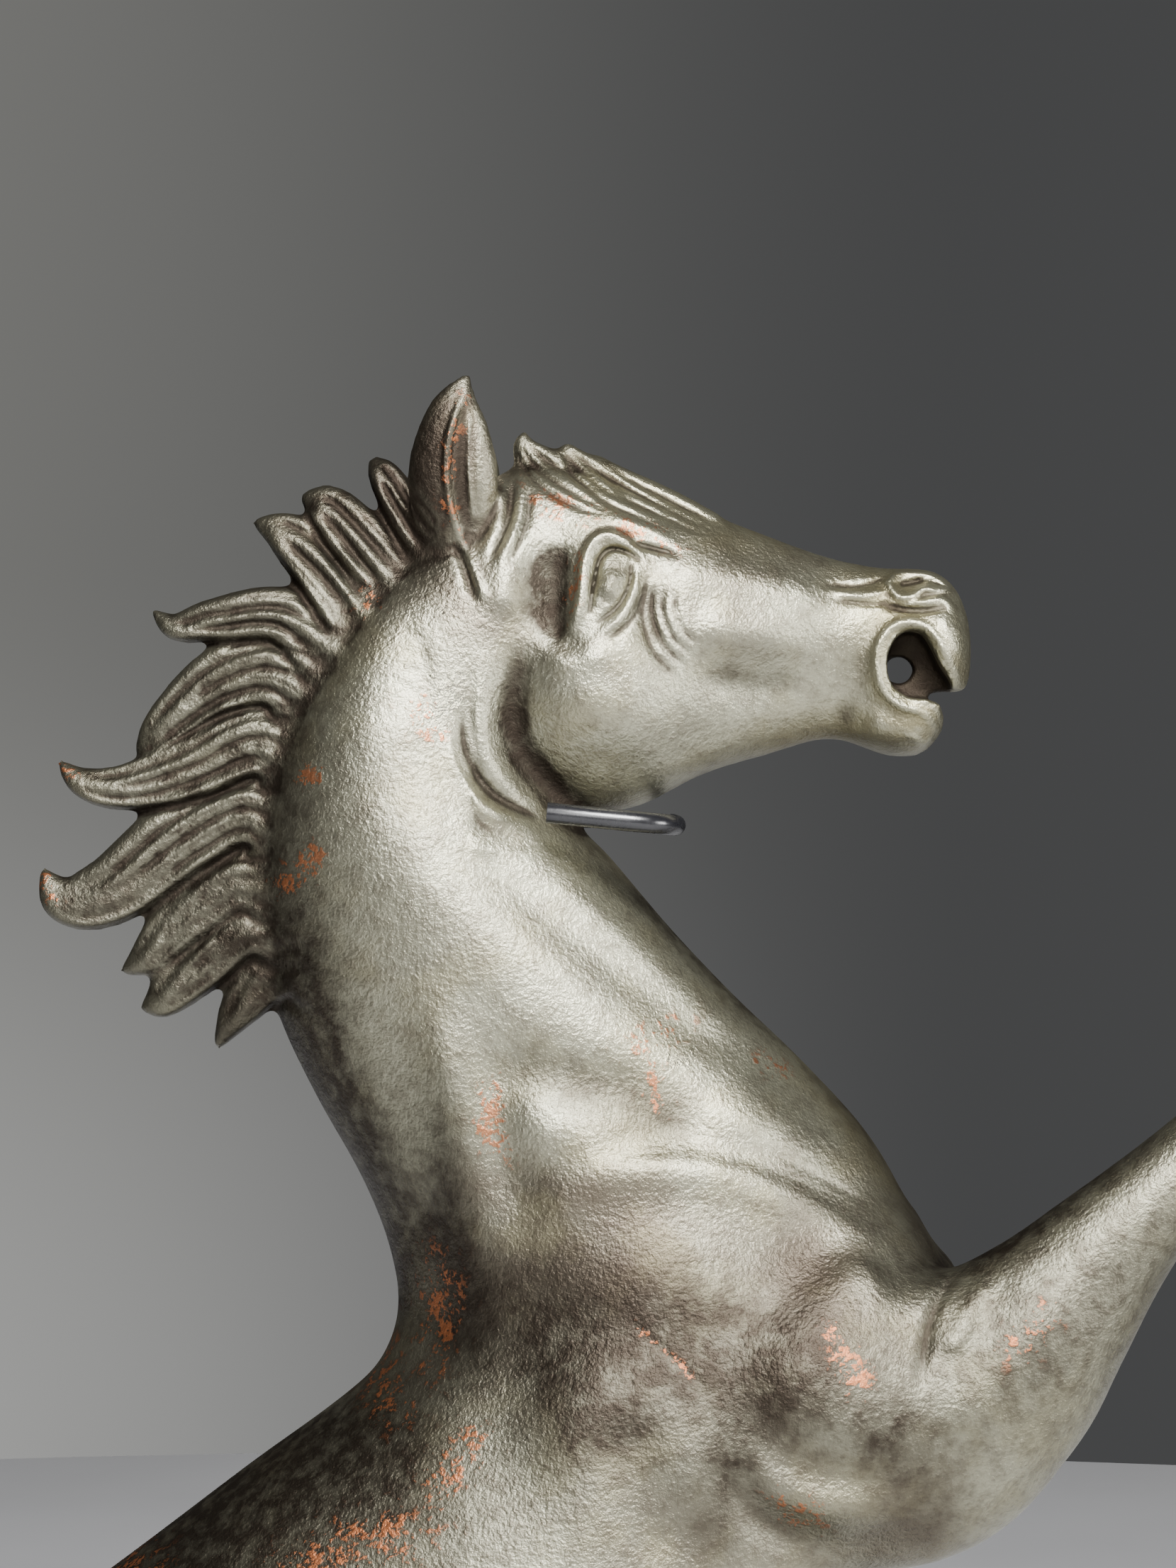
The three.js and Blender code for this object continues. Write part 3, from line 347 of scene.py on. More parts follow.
# Where the patina is rubbed through to copper, as strokes whose heights are how far.
RUBS = [
    ("swell", 1.2, 1, [(-1.2, 218.4), (-0.4, 218.2)]),
    ("swell", 1.7, 0.7, [(-0.6, 209.4), (-3.4, 206.6)]),
    ("swell", 1.5, 0.9, [(18.8, 185), (18.6, 180), (19.8, 176.6)]),
    ("swell", 2.4, 0.6, [(12.6, 166), (13.4, 160), (11.6, 153)]),
    ("swell", 1.7, 0.8, [(57.2, 155.4), (58.4, 152.6)]),
    ("swell", 1, 0.7, [(55.6, 158), (56.4, 157)]),
    ("swell", 1.8, 0.5, [(22.4, 249.4), (26, 247.6), (30, 246.4)]),
    ("swell", 1.4, 0.45, [(31.6, 246.2), (35, 244.8), (39, 243)]),
    ("swell", 0.9, 0.6, [(28.4, 242), (27.8, 238), (26.8, 235)]),
    ("swell", 1.1, 0.5, [(16.2, 259.6), (14.6, 254), (14.2, 249), (15.4, 244)]),
    ("swell", 2, 0.4, [(10.6, 226), (12.6, 223)]),
    ("swell", 1.8, 0.55, [(33.6, 188.6), (37, 190.4), (40, 191.6)]),
    ("swell", 1.6, 0.5, [(36.4, 186), (36.8, 183)]),
    ("swell", 3, 0.6, [(12, 136), (4, 135), (-5, 131)]),
    ("swell", 2.4, 0.5, [(17, 146), (13, 141)]),
    ("swell", 1.8, 0.5, [(50, 139.4), (54, 137.8)]),
    ("swell", 0.32, 0.65, [(33.5, 159.4), (37, 156.2), (39.6, 154), (42.6, 150.9)]),
    ("swell", 2, 0.4, [(76, 156), (79, 159.6)]),
    ("swell", 1.2, 0.6, [(-29.9, 208), (-29, 205.6)]),
    ("swell", 1, 0.6, [(-27.8, 219.8), (-27, 219)]),
    ("swell", 1.2, 0.5, [(48, 187.4), (50.4, 186)]),
    ("swell", 1.4, 0.4, [(4.6, 238), (5.6, 236.8)]),
    ("swell", 4, 0.4, [(-20, 132), (-34, 124)]),
    ("swell", 3, 0.4, [(3, 168), (8, 150)]),
]

# Where the colour is darkened, as strokes whose heights are how dark they are. This is partly darker patina
# and partly painted shade: the lower body, the back and the top of the foreleg, where the light falls off,
# the ear's back and the eye hollow, which face away from it, and the creases of the jaw and throat.
PATINA_AND_SHADE = [
    ("swell", 6.5, 1.5, [(-6, 197), (1, 182), (6, 168), (6, 156)]),
    ("swell", 4, 0.8, [(14, 190), (14.4, 170), (17, 154)]),
    ("swell", 9, 1.3, [(12, 150), (-6, 140), (-22, 128), (-46, 112)]),
    ("swell", 14, 0.8, [(34, 144), (6, 134), (-14, 120), (-46, 96)]),
    ("swell", 3.8, 0.8, [(34, 183.4), (37.4, 181.6)]),
    ("swell", 3.8, 0.7, [(23.6, 186), (28.6, 184.6)]),
    ("swell", 4, 1.1, [(68, 165), (80, 175), (95, 187)]),
    ("swell", 12, 0.65, [(70, 150), (84, 164), (98, 178)]),
    ("swell", 3.4, 1.25, [(25.4, 242.2), (24.6, 238), (25.2, 233.4)]),
    ("swell", 1.5, 0.7, [(32.2, 241.4), (31.2, 238)]),
    ("swell", 2.4, 0.45, [(21, 228), (22, 221), (28, 215.6)]),
    ("swell", 4, 0.4, [(45, 143), (43, 136)]),
    ("swell", 6, 0.7, [(22, 162), (30, 148)]),
    ("swell", 10, 0.7, [(34, 160), (50, 155)]),
    ("swell", 2, 0.6, [(33, 217), (30, 213.6), (24, 214)]),
    ("swell", 3, 1.5, [(11.2, 262), (10.6, 251), (12.6, 240)]),
    ("swell", 5, 0.4, [(62, 146), (66, 138)]),
    ("swell", 9, 0.25, [(2, 226), (8, 206), (22, 196)]),
    ("swell", 18, 0.5, [(30, 158), (54, 152), (84, 158)]),
    ("swell", 1.6, 0.9, [(66, 170), (54, 187), (46, 194), (36, 204), (26, 214)]),
    ("swell", 3, 0.4, [(40, 219), (58, 222), (66, 222)]),
]

# Where the patina has gone green.
GREENS = [
    ("swell", 7, 0.9, [(62, 238), (66, 226)]),
    ("swell", 4, 0.8, [(44, 219), (58, 223), (64, 222)]),
    ("swell", 4, 0.7, [(22, 253), (36, 249), (52, 243)]),
    ("swell", 6, 0.5, [(36, 188), (34, 180)]),
    ("swell", 3, 0.5, [(40, 204), (54, 188), (64, 172)]),
]

# ---- curves and lofts ---------------------------------------------------------------------------


def smooth_line(points, count):
    """count + 1 places along a smooth line through the points, evenly spaced in the list's own steps."""
    p = np.asarray(points, float)
    p = np.vstack([2 * p[0] - p[1], p, 2 * p[-1] - p[-2]])
    t = np.linspace(0, len(points) - 1 - 1e-9, count + 1)
    i = t.astype(int)
    f = (t - i)[:, None]
    a, b, c, d = p[i], p[i + 1], p[i + 2], p[i + 3]
    return b + 0.5 * f * (c - a + f * (2 * a - 5 * b + 4 * c - d + f * (3 * (b - c) + d - a)))


def skin(rings):
    """Vertices and faces of a tube through the rings, with a fan at each end, facing out."""
    count, sides = rings.shape[:2]
    verts = np.vstack([rings.reshape(-1, 3), rings[0].mean(0), rings[-1].mean(0)])
    j = np.arange(sides)
    k = (j + 1) % sides
    faces = []
    for r in range(count - 1):
        a, b = r * sides, (r + 1) * sides
        faces += np.stack([a + j, a + k, b + k, b + j], 1).tolist()
    first, last = count * sides, (count - 1) * sides
    faces += [[first, kk, jj] for jj, kk in zip(j.tolist(), k.tolist())]
    faces += [[first + 1, last + jj, last + kk] for jj, kk in zip(j.tolist(), k.tolist())]
    a, b, c = (verts[[f[n] for f in faces]] for n in range(3))
    if np.einsum("ij,ij->i", a, np.cross(b, c)).sum() < 0:
        faces = [f[::-1] for f in faces]
    return verts, faces


def mass(sections, rings=60, sides=48):
    s = smooth_line(sections, rings)
    top, bottom = s[:, :2], s[:, 2:4]
    middle, up = (top + bottom) / 2, (top - bottom) / 2
    angle = np.arange(sides) * 2 * math.pi / sides
    rise = np.cos(angle)
    out = np.zeros((len(s), sides, 3))
    out[..., 0] = middle[:, :1] + up[:, :1] * rise
    out[..., 2] = middle[:, 1:] + up[:, 1:] * rise
    out[..., 1] = s[:, 4:5] * np.sin(angle) * (1 - s[:, 5:6] * rise)
    return skin(out)


def limb(stages, y, rings=48, sides=32, strands=0, cut=0.3):
    """A limb at a distance y to one side. strands cuts that many round locks along both its faces."""
    s = smooth_line(stages, rings)
    line = s[:, :2]
    along = np.gradient(line, axis=0)
    along /= np.linalg.norm(along, axis=1)[:, None] + 1e-9
    deep = np.stack([-along[:, 1], along[:, 0]], 1)
    angle = np.arange(sides) * 2 * math.pi / sides
    across, rise = np.cos(angle), np.sin(angle)
    if strands:
        round_lock = np.abs(np.cos(math.pi * strands * (across + 1) / 2 + 0.5 * math.pi)) ** 0.6
        rise = rise * (1 - cut + cut * round_lock)
    out = np.zeros((len(s), sides, 3))
    radius = np.maximum(s[:, 2:4], 0.12)
    out[..., 0] = line[:, :1] + deep[:, :1] * across * radius[:, :1]
    out[..., 2] = line[:, 1:] + deep[:, 1:] * across * radius[:, :1]
    out[..., 1] = np.broadcast_to(np.asarray(y, float).reshape(-1, 1), (len(s), 1)) + rise * radius[:, 1:]
    return skin(out)


def along_lock(line, share, first, last):
    """Part of a line that keeps its share of the way from the middle of a lock to its lower edge."""
    s = smooth_line(line, 24)
    step = np.gradient(s[:, :2], axis=0)
    across = np.stack([-step[:, 1], step[:, 0]], 1) / (np.linalg.norm(step, axis=1)[:, None] + 1e-9)
    path = s[:, :2] + across * s[:, 2:3] * share
    return [tuple(p) for p in path[round(first * 24):round(last * 24) + 1]]


def hair_strokes(number, line):
    """Deep grooves between a lock's strands, light ones on them, and the step down to the next lock."""
    shift = 0.08 * math.sin(2.3 * number)
    shares = (-1 / 3, 1 / 3) if number < 4 else (-0.5, 0, 0.5)
    made = []
    for n, share in enumerate(shares):
        groove = along_lock(line, share + shift, 0.12, 0.8 - 0.16 * (n % 2))
        made.append(("ridge", 0.55, -0.55, groove))
    for n, share in enumerate((-0.72, -0.24, 0.24, 0.72)):
        groove = along_lock(line, share + shift, 0.14, 0.4 + 0.12 * ((n + number) % 3))
        made.append(("ridge", 0.36, -0.22, groove))
    made.append(("fold", 1, 0.7, along_lock(line, 0.78, 0.12, 0.9)[::-1]))
    made.append(("ridge", 0.55, -0.8, along_lock(line, 1.02, 0.1, 0.7)))
    return made


def lock(line, y, thickness, strands):
    """A lock of hair that leans in to the middle plane as it runs out to its point."""
    s = smooth_line(line, 48)
    left = 1 - np.linspace(0, 1, len(s))
    stages = np.column_stack([s[:, :2], s[:, 2], 0.35 + thickness * np.sqrt(left)])
    return limb(stages, y * left, rings=len(stages) - 1, sides=72, strands=strands, cut=0.3)


# ---- meshes -------------------------------------------------------------------------------------


def deselect():
    for o in bpy.context.selected_objects:
        o.select_set(False)


def activate(obj):
    deselect()
    obj.select_set(True)
    bpy.context.view_layer.objects.active = obj


def mesh_object(name, parts):
    """One object from (vertices in millimetres, faces) pairs, in metres."""
    verts, faces = [], []
    start = 0
    for v, f in parts:
        verts.append(np.asarray(v) * MM)
        faces += [[i + start for i in face] for face in f]
        start += len(v)
    mesh = bpy.data.meshes.new(name)
    mesh.from_pydata(np.vstack(verts).tolist(), [], faces)
    mesh.update()
    obj = bpy.data.objects.new(name, mesh)
    bpy.context.scene.collection.objects.link(obj)
    return obj


def apply(obj, kind, name="work", **values):
    activate(obj)
    modifier = obj.modifiers.new(name, kind)
    for key, value in values.items():
        setattr(modifier, key, value)
    bpy.ops.object.modifier_apply(modifier=modifier.name)
    return obj


def fused(obj, voxel):
    """The object as one closed skin round all of its overlapping parts."""
    return apply(obj, "REMESH", mode="VOXEL", voxel_size=voxel * MM, use_smooth_shade=True)


def joined(target, *others):
    activate(target)
    for o in others:
        o.select_set(True)
    bpy.ops.object.join()
    return target


def carved(obj, tool, operation, keep_tool=False):
    apply(obj, "BOOLEAN", operation=operation, object=tool, solver="MANIFOLD")
    if not keep_tool:
        bpy.data.objects.remove(tool)
    return obj


def copy_of(obj, name):
    made = obj.copy()
    made.data = obj.data.copy()
    made.name = made.data.name = name
    bpy.context.scene.collection.objects.link(made)
    return made


def box_tool(low, high):
    """A box between two corners, in millimetres."""
    deselect()
    centre = [(a + b) / 2 * MM for a, b in zip(low, high)]
    size = [(b - a) * MM for a, b in zip(low, high)]
    bpy.ops.mesh.primitive_cube_add(size=1, location=centre, scale=size)
    bpy.ops.object.transform_apply(location=True, rotation=True, scale=True)
    return bpy.context.active_object


def half_space(plane, sign=1):
    """A big box on the side of a plane that sign says, with one face on the plane."""
    at, normal = Vector(plane[0]) * MM, Vector(plane[1]) * sign
    deselect()
    size = 0.6
    bpy.ops.mesh.primitive_cube_add(size=size, location=at + normal.normalized() * size / 2,
                                    rotation=normal.to_track_quat("X", "Y").to_euler())
    bpy.ops.object.transform_apply(location=True, rotation=True, scale=True)
    return bpy.context.active_object


def places(obj):
    co = np.empty(len(obj.data.vertices) * 3, np.float32)
    obj.data.vertices.foreach_get("co", co)
    return co.reshape(-1, 3).astype(float) / MM


def put_back(obj, co):
    obj.data.vertices.foreach_set("co", (co * MM).astype(np.float32).ravel())
    obj.data.update()


def normals(obj):
    n = np.empty(len(obj.data.vertices) * 3, np.float32)
    obj.data.vertex_normals.foreach_get("vector", n)
    return n.reshape(-1, 3).astype(float)


def edges(obj):
    e = np.empty(len(obj.data.edges) * 2, np.int32)
    obj.data.edges.foreach_get("vertices", e)
    return e.reshape(-1, 2)


def around(values, e):
    """The sum of the neighbours' values at each vertex."""
    count = len(values)
    return np.bincount(e[:, 0], values[e[:, 1]], count) + np.bincount(e[:, 1], values[e[:, 0]], count)


def degrees(e, count):
    """How many neighbours each vertex has."""
    return np.maximum(np.bincount(e.ravel(), minlength=count), 1)


def neighbour_mean(co, e, degree):
    return np.stack([around(co[:, axis], e) / degree for axis in range(3)], 1)


def settle(obj, passes, fill_only=False):
    """Smooths a skin. fill_only fills its creases and leaves what stands proud."""
    e = edges(obj)
    co = places(obj)
    degree = degrees(e, len(co))
    for n in range(passes):
        if fill_only and n % 5 == 0:
            put_back(obj, co)
            normal = normals(obj)
        step = neighbour_mean(co, e, degree) - co
        strength = np.full(len(co), 0.5)
        if fill_only:
            strength = np.where((step * normal).sum(1) > 0, 0.6, 0.06)
        co += step * strength[:, None]
    put_back(obj, co)


def ramp(value, low, high):
    t = np.clip((value - low) / (high - low), 0, 1)
    return t * t * (3 - 2 * t)


# ---- strokes ------------------------------------------------------------------------------------


def stroke_rise(kind, width, height, points, x, z):
    """How far a stroke raises each place (x, z)."""
    line = smooth_line(points, min(40, max(8, 6 * (len(points) - 1))))
    reach = 2.6 * width
    low, high = line.min(0) - reach, line.max(0) + reach
    near = np.flatnonzero((x > low[0]) & (x < high[0]) & (z > low[1]) & (z < high[1]))
    rise = np.zeros(len(x))
    if not len(near):
        return rise
    p = np.stack([x[near], z[near]], 1)
    best = np.full(len(p), 1e9)
    side = np.zeros(len(p))
    where = np.zeros(len(p))
    for n in range(len(line) - 1):
        a, d = line[n], line[n + 1] - line[n]
        t = np.clip(((p - a) @ d) / (d @ d + 1e-12), 0, 1)
        off = p - a - t[:, None] * d
        distance = np.hypot(off[:, 0], off[:, 1])
        closer = distance < best
        best = np.where(closer, distance, best)
        side = np.where(closer, d[0] * off[:, 1] - d[1] * off[:, 0], side)
        where = np.where(closer, (n + t) / (len(line) - 1), where)
    if kind == "swell":
        shape = np.exp(-((best / width) ** 2) * 1.4)
        if len(points) > 2:
            shape = shape * ramp(where, -0.22, 0.36) * ramp(1 - where, -0.22, 0.36)
    else:
        w = np.full(len(p), float(width))
        if kind == "fold":
            w = np.where(side < 0, width * 0.4, width * 1.3)
        taper = ramp(where, -0.12, 0.25) * ramp(1 - where, -0.12, 0.25)
        closed = np.hypot(*(line[0] - line[-1])) < 1e-6
        shape = np.exp(-((best / w) ** 2)) * (1 if closed else taper)
    rise[near] = height * shape
    return rise


def laid(strokes, x, z, combine=np.add):
    """What the strokes make together of each place (x, z)."""
    total = np.zeros(len(x))
    for stroke in strokes:
        total = combine(total, stroke_rise(*stroke, x, z))
    return total


def refine(obj, test):
    """Halves the faces whose vertices all pass the test."""
    co = places(obj)
    inside = test(co)
    edit = bmesh.new()
    edit.from_mesh(obj.data)
    edit.verts.ensure_lookup_table()
    chosen = [e for e in edit.edges if inside[e.verts[0].index] and inside[e.verts[1].index]]
    bmesh.ops.subdivide_edges(edit, edges=chosen, cuts=1, use_grid_fill=True)
    edit.to_mesh(obj.data)
    edit.free()
    obj.data.update()


def store(obj, name, values):
    layer = obj.data.attributes.new(name, "FLOAT", "POINT")
    layer.data.foreach_set("value", np.asarray(values, np.float32))


def spread_out(values, e, degree, passes):
    for _ in range(passes):
        values = 0.5 * values + 0.5 * around(values, e) / degree
    return values


def bending(co, normal, e, degree):
    """How sharply the skin bends at each vertex, above 0 where it stands proud."""
    length = ((co[e[:, 0]] - co[e[:, 1]]) ** 2).sum(1)
    size = (np.bincount(e[:, 0], length, len(co)) + np.bincount(e[:, 1], length, len(co))) / degree
    return -4 * ((neighbour_mean(co, e, degree) - co) * normal).sum(1) / (size + 1e-6)


def note_relief(obj):
    """Stores how far each place stands proud, how far it is rubbed, how green it is, and how dark it is from
    its patina and from painted shade.
    """
    co, e = places(obj), edges(obj)
    degree = degrees(e, len(co))
    bend = np.clip(bending(co, normals(obj), e, degree), -3, 3)
    fine = spread_out(bend, e, degree, FINE_PASSES)
    broad = spread_out(fine, e, degree, BROAD_PASSES)
    deep = spread_out(broad, e, degree, DEEP_PASSES)
    x, z = thrown(co)
    edge_z, edge_x = zip(*MANE_EDGE)
    into_mane = np.interp(z, edge_z, edge_x) - x
    # Darker patina and painted shade: the mane, whose locks turn away from the light, the top of the head
    # ahead of the ears, the darkening strokes, and painted shade in the broad hollows.
    dark = 0.85 * ramp(into_mane, -7, 2) * ramp(z, 186, 190)
    dark += 0.6 * ramp(z, 250.4, 251.6) * ramp(x, 20, 21)
    dark += laid(PATINA_AND_SHADE, x, z) + 0.7 * ramp(-deep, 0.02, 0.2)
    # Inside the mouth the relief is set low and the colour fully darkened: painted shade.
    in_mouth = within(x, co[:, 1], z, MOUTH_BOX)
    store(obj, "proud", np.where(in_mouth, 0.1, np.clip(0.5 + 0.2 * fine + 0.32 * broad, 0, 1)))
    store(obj, "rub", laid(RUBS, x, z, np.maximum))
    store(obj, "green", np.clip(laid(GREENS, x, z, np.maximum), 0, 1))
    store(obj, "patina_and_shade", np.where(in_mouth, 1, np.clip(dark, 0, 1)))


def mend_seams(obj):
    """Shades the rims of cut faces as if the skin ran on across them."""
    data, e, co = obj.data, edges(obj), places(obj)
    corner = np.empty(len(data.loops), np.int32)
    data.loops.foreach_get("vertex_index", corner)
    sides = np.empty(len(data.polygons), np.int32)
    data.polygons.foreach_get("loop_total", sides)
    face = np.empty(len(data.polygons) * 3, np.float32)
    data.polygons.foreach_get("normal", face)
    face = np.repeat(face.reshape(-1, 3), sides, axis=0)
    rim = np.zeros(len(co), bool)
    on_cut = np.zeros(len(corner), bool)
    for at, normal in CUTS:
        normal = np.array(normal) / np.linalg.norm(normal)
        touching = np.abs((co - at) @ normal) < 0.003
        rim |= touching
        on_cut |= touching[corner] & (np.abs(face @ normal) > 0.9995)
    values = dict(zip("xyz", normals(obj).T.copy()))
    for name in STORED:
        values[name] = np.empty(len(co), np.float32)
        data.attributes[name].data.foreach_get("value", values[name])
    known = ~rim
    for _ in range(5):
        held = known.astype(float)
        count = around(held, e)
        gained = ~known & (count > 0)
        for v in values.values():
            v[gained] = (around(v * held, e) / np.maximum(count, 1))[gained]
        known |= gained
    for name in STORED:
        data.attributes[name].data.foreach_set("value", values[name])
    given = np.stack([values[axis] for axis in "xyz"], 1)
    given /= np.linalg.norm(given, axis=1)[:, None] + 1e-9
    given = np.where(on_cut[:, None], face, given[corner]) * rim[corner][:, None]
    data.normals_split_custom_set(given.tolist())


def thrown(co):
    """Where each place lies on the strokes' layout."""
    scale = THROW[1] / (THROW[1] - np.abs(co[:, 1]))
    return THROW[0] + (co[:, 0] - THROW[0]) * scale, THROW[2] + (co[:, 2] - THROW[2]) * scale


def facing(obj, side):
    """How squarely each vertex faces one side, from 0 to 1."""
    return ramp(normals(obj)[:, 1] * side, 0.02, 0.5)


def within(x, y, z, box):
    """Which places lie inside a box that is the same on both sides of the middle plane."""
    (x0, x1), (y0, y1), (z0, z1) = box
    y = np.abs(y)
    return (x > x0) & (x < x1) & (y >= y0) & (y < y1) & (z > z0) & (z < z1)


def model(obj, strokes, inside=None):
    """Works the strokes into both sides of a skin. inside gives a box that they are held to."""
    co = places(obj)
    held = within(*co.T, inside) if inside else True
    total = laid(strokes, *thrown(co))
    for side in SIDES.values():
        weight = facing(obj, side) * (co[:, 1] * side > 0) * held
        co[:, 1] += side * weight * total
    put_back(obj, co)


# ---- materials ----------------------------------------------------------------------------------


def group(name, inputs, outputs):
    tree = bpy.data.node_groups.new(name, "ShaderNodeTree")
    for label, kind, value in inputs:
        socket = tree.interface.new_socket(label, in_out="INPUT", socket_type=kind)
        if value is not None:
            socket.default_value = value
    for label, kind in outputs:
        tree.interface.new_socket(label, in_out="OUTPUT", socket_type=kind)
    return tree, tree.nodes.new("NodeGroupInput"), tree.nodes.new("NodeGroupOutput")


def node(tree, kind, values=(), links=()):
    made = tree.nodes.new(kind)
    for key, value in dict(values).items():
        if isinstance(key, str) and hasattr(made, key):
            setattr(made, key, value)
        else:
            made.inputs[key].default_value = value
    for key, source in dict(links).items():
        tree.links.new(source, made.inputs[key])
    return made


def maths(tree, operation, a, b=0.0, clamp=False):
    made = tree.nodes.new("ShaderNodeMath")
    made.operation = operation
    made.use_clamp = clamp
    for socket, value in zip(made.inputs, (a, b)):
        if isinstance(value, (int, float)):
            socket.default_value = value
        else:
            tree.links.new(value, socket)
    return made.outputs[0]


def times(tree, a, b, clamp=False):
    return maths(tree, "MULTIPLY", a, b, clamp)


def plus(tree, a, b):
    return maths(tree, "ADD", a, b)


def mixed(tree, factor, a, b):
    made = tree.nodes.new("ShaderNodeMix")
    made.data_type = "RGBA"
    for socket, value in ((made.inputs[0], factor), (made.inputs[6], a), (made.inputs[7], b)):
        if isinstance(value, (int, float, tuple)):
            socket.default_value = value
        else:
            tree.links.new(value, socket)
    return made.outputs[2]


def spread(tree, value, low, high):
    """0 at low and 1 at high, with a smooth change between them. low may be the bigger number."""
    made = tree.nodes.new("ShaderNodeMapRange")
    made.interpolation_type = "SMOOTHSTEP"
    tree.links.new(value, made.inputs["Value"])
    made.inputs["From Min"].default_value = low
    made.inputs["From Max"].default_value = high
    return made.outputs["Result"]


def noise(tree, place, scale, detail=3.0, roughness=0.55):
    made = node(tree, "ShaderNodeTexNoise", {"Scale": scale, "Detail": detail, "Roughness": roughness})
    tree.links.new(place, made.inputs["Vector"])
    return made.outputs["Fac"]


def bronze_group():
    """Patina and painted shade: colour, roughness and height, from what the figure stores about its relief,
    its patina and the shade painted on it.
    """
    tree, source, result = group(
        "patina_and_painted_shade",
        [("Dark", "NodeSocketColor", (0.018, 0.013, 0.009, 1)),
         ("Brown", "NodeSocketColor", (0.070, 0.054, 0.040, 1)),
         ("Silver", "NodeSocketColor", (0.262, 0.256, 0.188, 1)),
         ("Olive", "NodeSocketColor", (0.175, 0.155, 0.085, 1)),
         ("Copper", "NodeSocketColor", (0.30, 0.105, 0.042, 1)),
         ("Proud", "NodeSocketFloat", 0.5),
         ("Rub", "NodeSocketFloat", 0.0),
         ("Patina_and_shade", "NodeSocketFloat", 0.0),
         ("Green", "NodeSocketFloat", 0.0),
         ("Wear", "NodeSocketFloat", 0.5)],
        [("Color", "NodeSocketColor"), ("Roughness", "NodeSocketFloat"), ("Height", "NodeSocketFloat")])
    given = source.outputs
    place = node(tree, "ShaderNodeTexCoord").outputs["Object"]
    proud, patina_and_shade, rub = given["Proud"], given["Patina_and_shade"], given["Rub"]
    broad = noise(tree, place, 26, 3)
    cloud = noise(tree, place, 110, 4, 0.6)
    mottled = noise(tree, place, 520, 6, 0.66)
    grain = noise(tree, place, 1900, 4, 0.62)
    body = mixed(tree, spread(tree, broad, 0.30, 0.56), given["Brown"], given["Silver"])
    body = mixed(tree, times(tree, spread(tree, cloud, 0.46, 0.68), 0.4), body, given["Olive"])
    body = mixed(tree, times(tree, spread(tree, mottled, 0.42, 0.66), 0.34), body, given["Brown"])
    body = mixed(tree, times(tree, spread(tree, grain, 0.5, 0.68), 0.3), body, given["Brown"])
    mossy = times(tree, given["Green"], plus(tree, cloud, 0.3), clamp=True)
    body = mixed(tree, mossy, body, given["Olive"])
    # Darker patina and painted shade, mixed towards Dark by the stored darkening.
    darker = times(tree, patina_and_shade, plus(tree, mottled, 0.45), clamp=True)
    body = mixed(tree, times(tree, darker, 0.96), body, given["Dark"])
    worn = times(tree, spread(tree, proud, 0.58, 0.84), given["Wear"])
    worn = times(tree, worn, spread(tree, mottled, 0.3, 0.58), clamp=True)
    worn = times(tree, worn, maths(tree, "SUBTRACT", 1.0, times(tree, patina_and_shade, 0.85)))
    body = mixed(tree, worn, body, given["Silver"])
    patchy = plus(tree, mottled, times(tree, grain, 0.8))
    flecks = times(tree, maths(tree, "SUBTRACT", patchy, 0.9), 4.0)
    rubbed = spread(tree, plus(tree, rub, flecks), 0.5, 0.8)
    rubbed = times(tree, rubbed, times(tree, rub, 4.0, clamp=True))
    body = mixed(tree, times(tree, rubbed, 0.75), body, given["Copper"])
    # Dark in sunk places: patina in the hollows, and painted shade inside the mouth, where the stored relief
    # is set low.
    sunk = spread(tree, proud, 0.45, 0.14)
    body = mixed(tree, times(tree, sunk, 0.8), body, given["Dark"])
    tree.links.new(body, result.inputs["Color"])
    rough = plus(tree, times(tree, cloud, 0.14), 0.22)
    rough = plus(tree, rough, times(tree, sunk, 0.22))
    rough = plus(tree, rough, times(tree, patina_and_shade, 0.12))
    tree.links.new(rough, result.inputs["Roughness"])
    height = plus(tree, times(tree, grain, 1.0), times(tree, mottled, 0.7))
    tree.links.new(plus(tree, height, times(tree, cloud, 0.3)), result.inputs["Height"])
    return tree


def grain_group():
    """Two scales of fine noise, for stone, steel, felt and plastic."""
    tree, source, result = group(
        "fine_grain",
        [("Coarse scale", "NodeSocketFloat", 200.0), ("Fine scale", "NodeSocketFloat", 2000.0)],
        [("Coarse", "NodeSocketFloat"), ("Fine", "NodeSocketFloat")])
    place = node(tree, "ShaderNodeTexCoord").outputs["Object"]
    for label, detail in (("Coarse", 5.0), ("Fine", 2.0)):
        made = node(tree, "ShaderNodeTexNoise", {"Detail": detail},
                    {"Vector": place, "Scale": source.outputs[label + " scale"]})
        tree.links.new(made.outputs["Fac"], result.inputs[label])
    return tree


def new_material(name, metallic, roughness):
    material = bpy.data.materials.new(name)
    material.use_nodes = True
    tree = material.node_tree
    shader = tree.nodes["Principled BSDF"]
    shader.inputs["Metallic"].default_value = metallic
    shader.inputs["Roughness"].default_value = roughness
    return material, tree, shader


def placed_group(tree, made, values=()):
    holder = tree.nodes.new("ShaderNodeGroup")
    holder.node_tree = made
    for key, value in dict(values).items():
        holder.inputs[key].default_value = value
    return holder


def bump(tree, shader, height, distance, strength):
    made = node(tree, "ShaderNodeBump", {"Strength": strength, "Distance": distance}, {"Height": height})
    tree.links.new(made.outputs["Normal"], shader.inputs["Normal"])


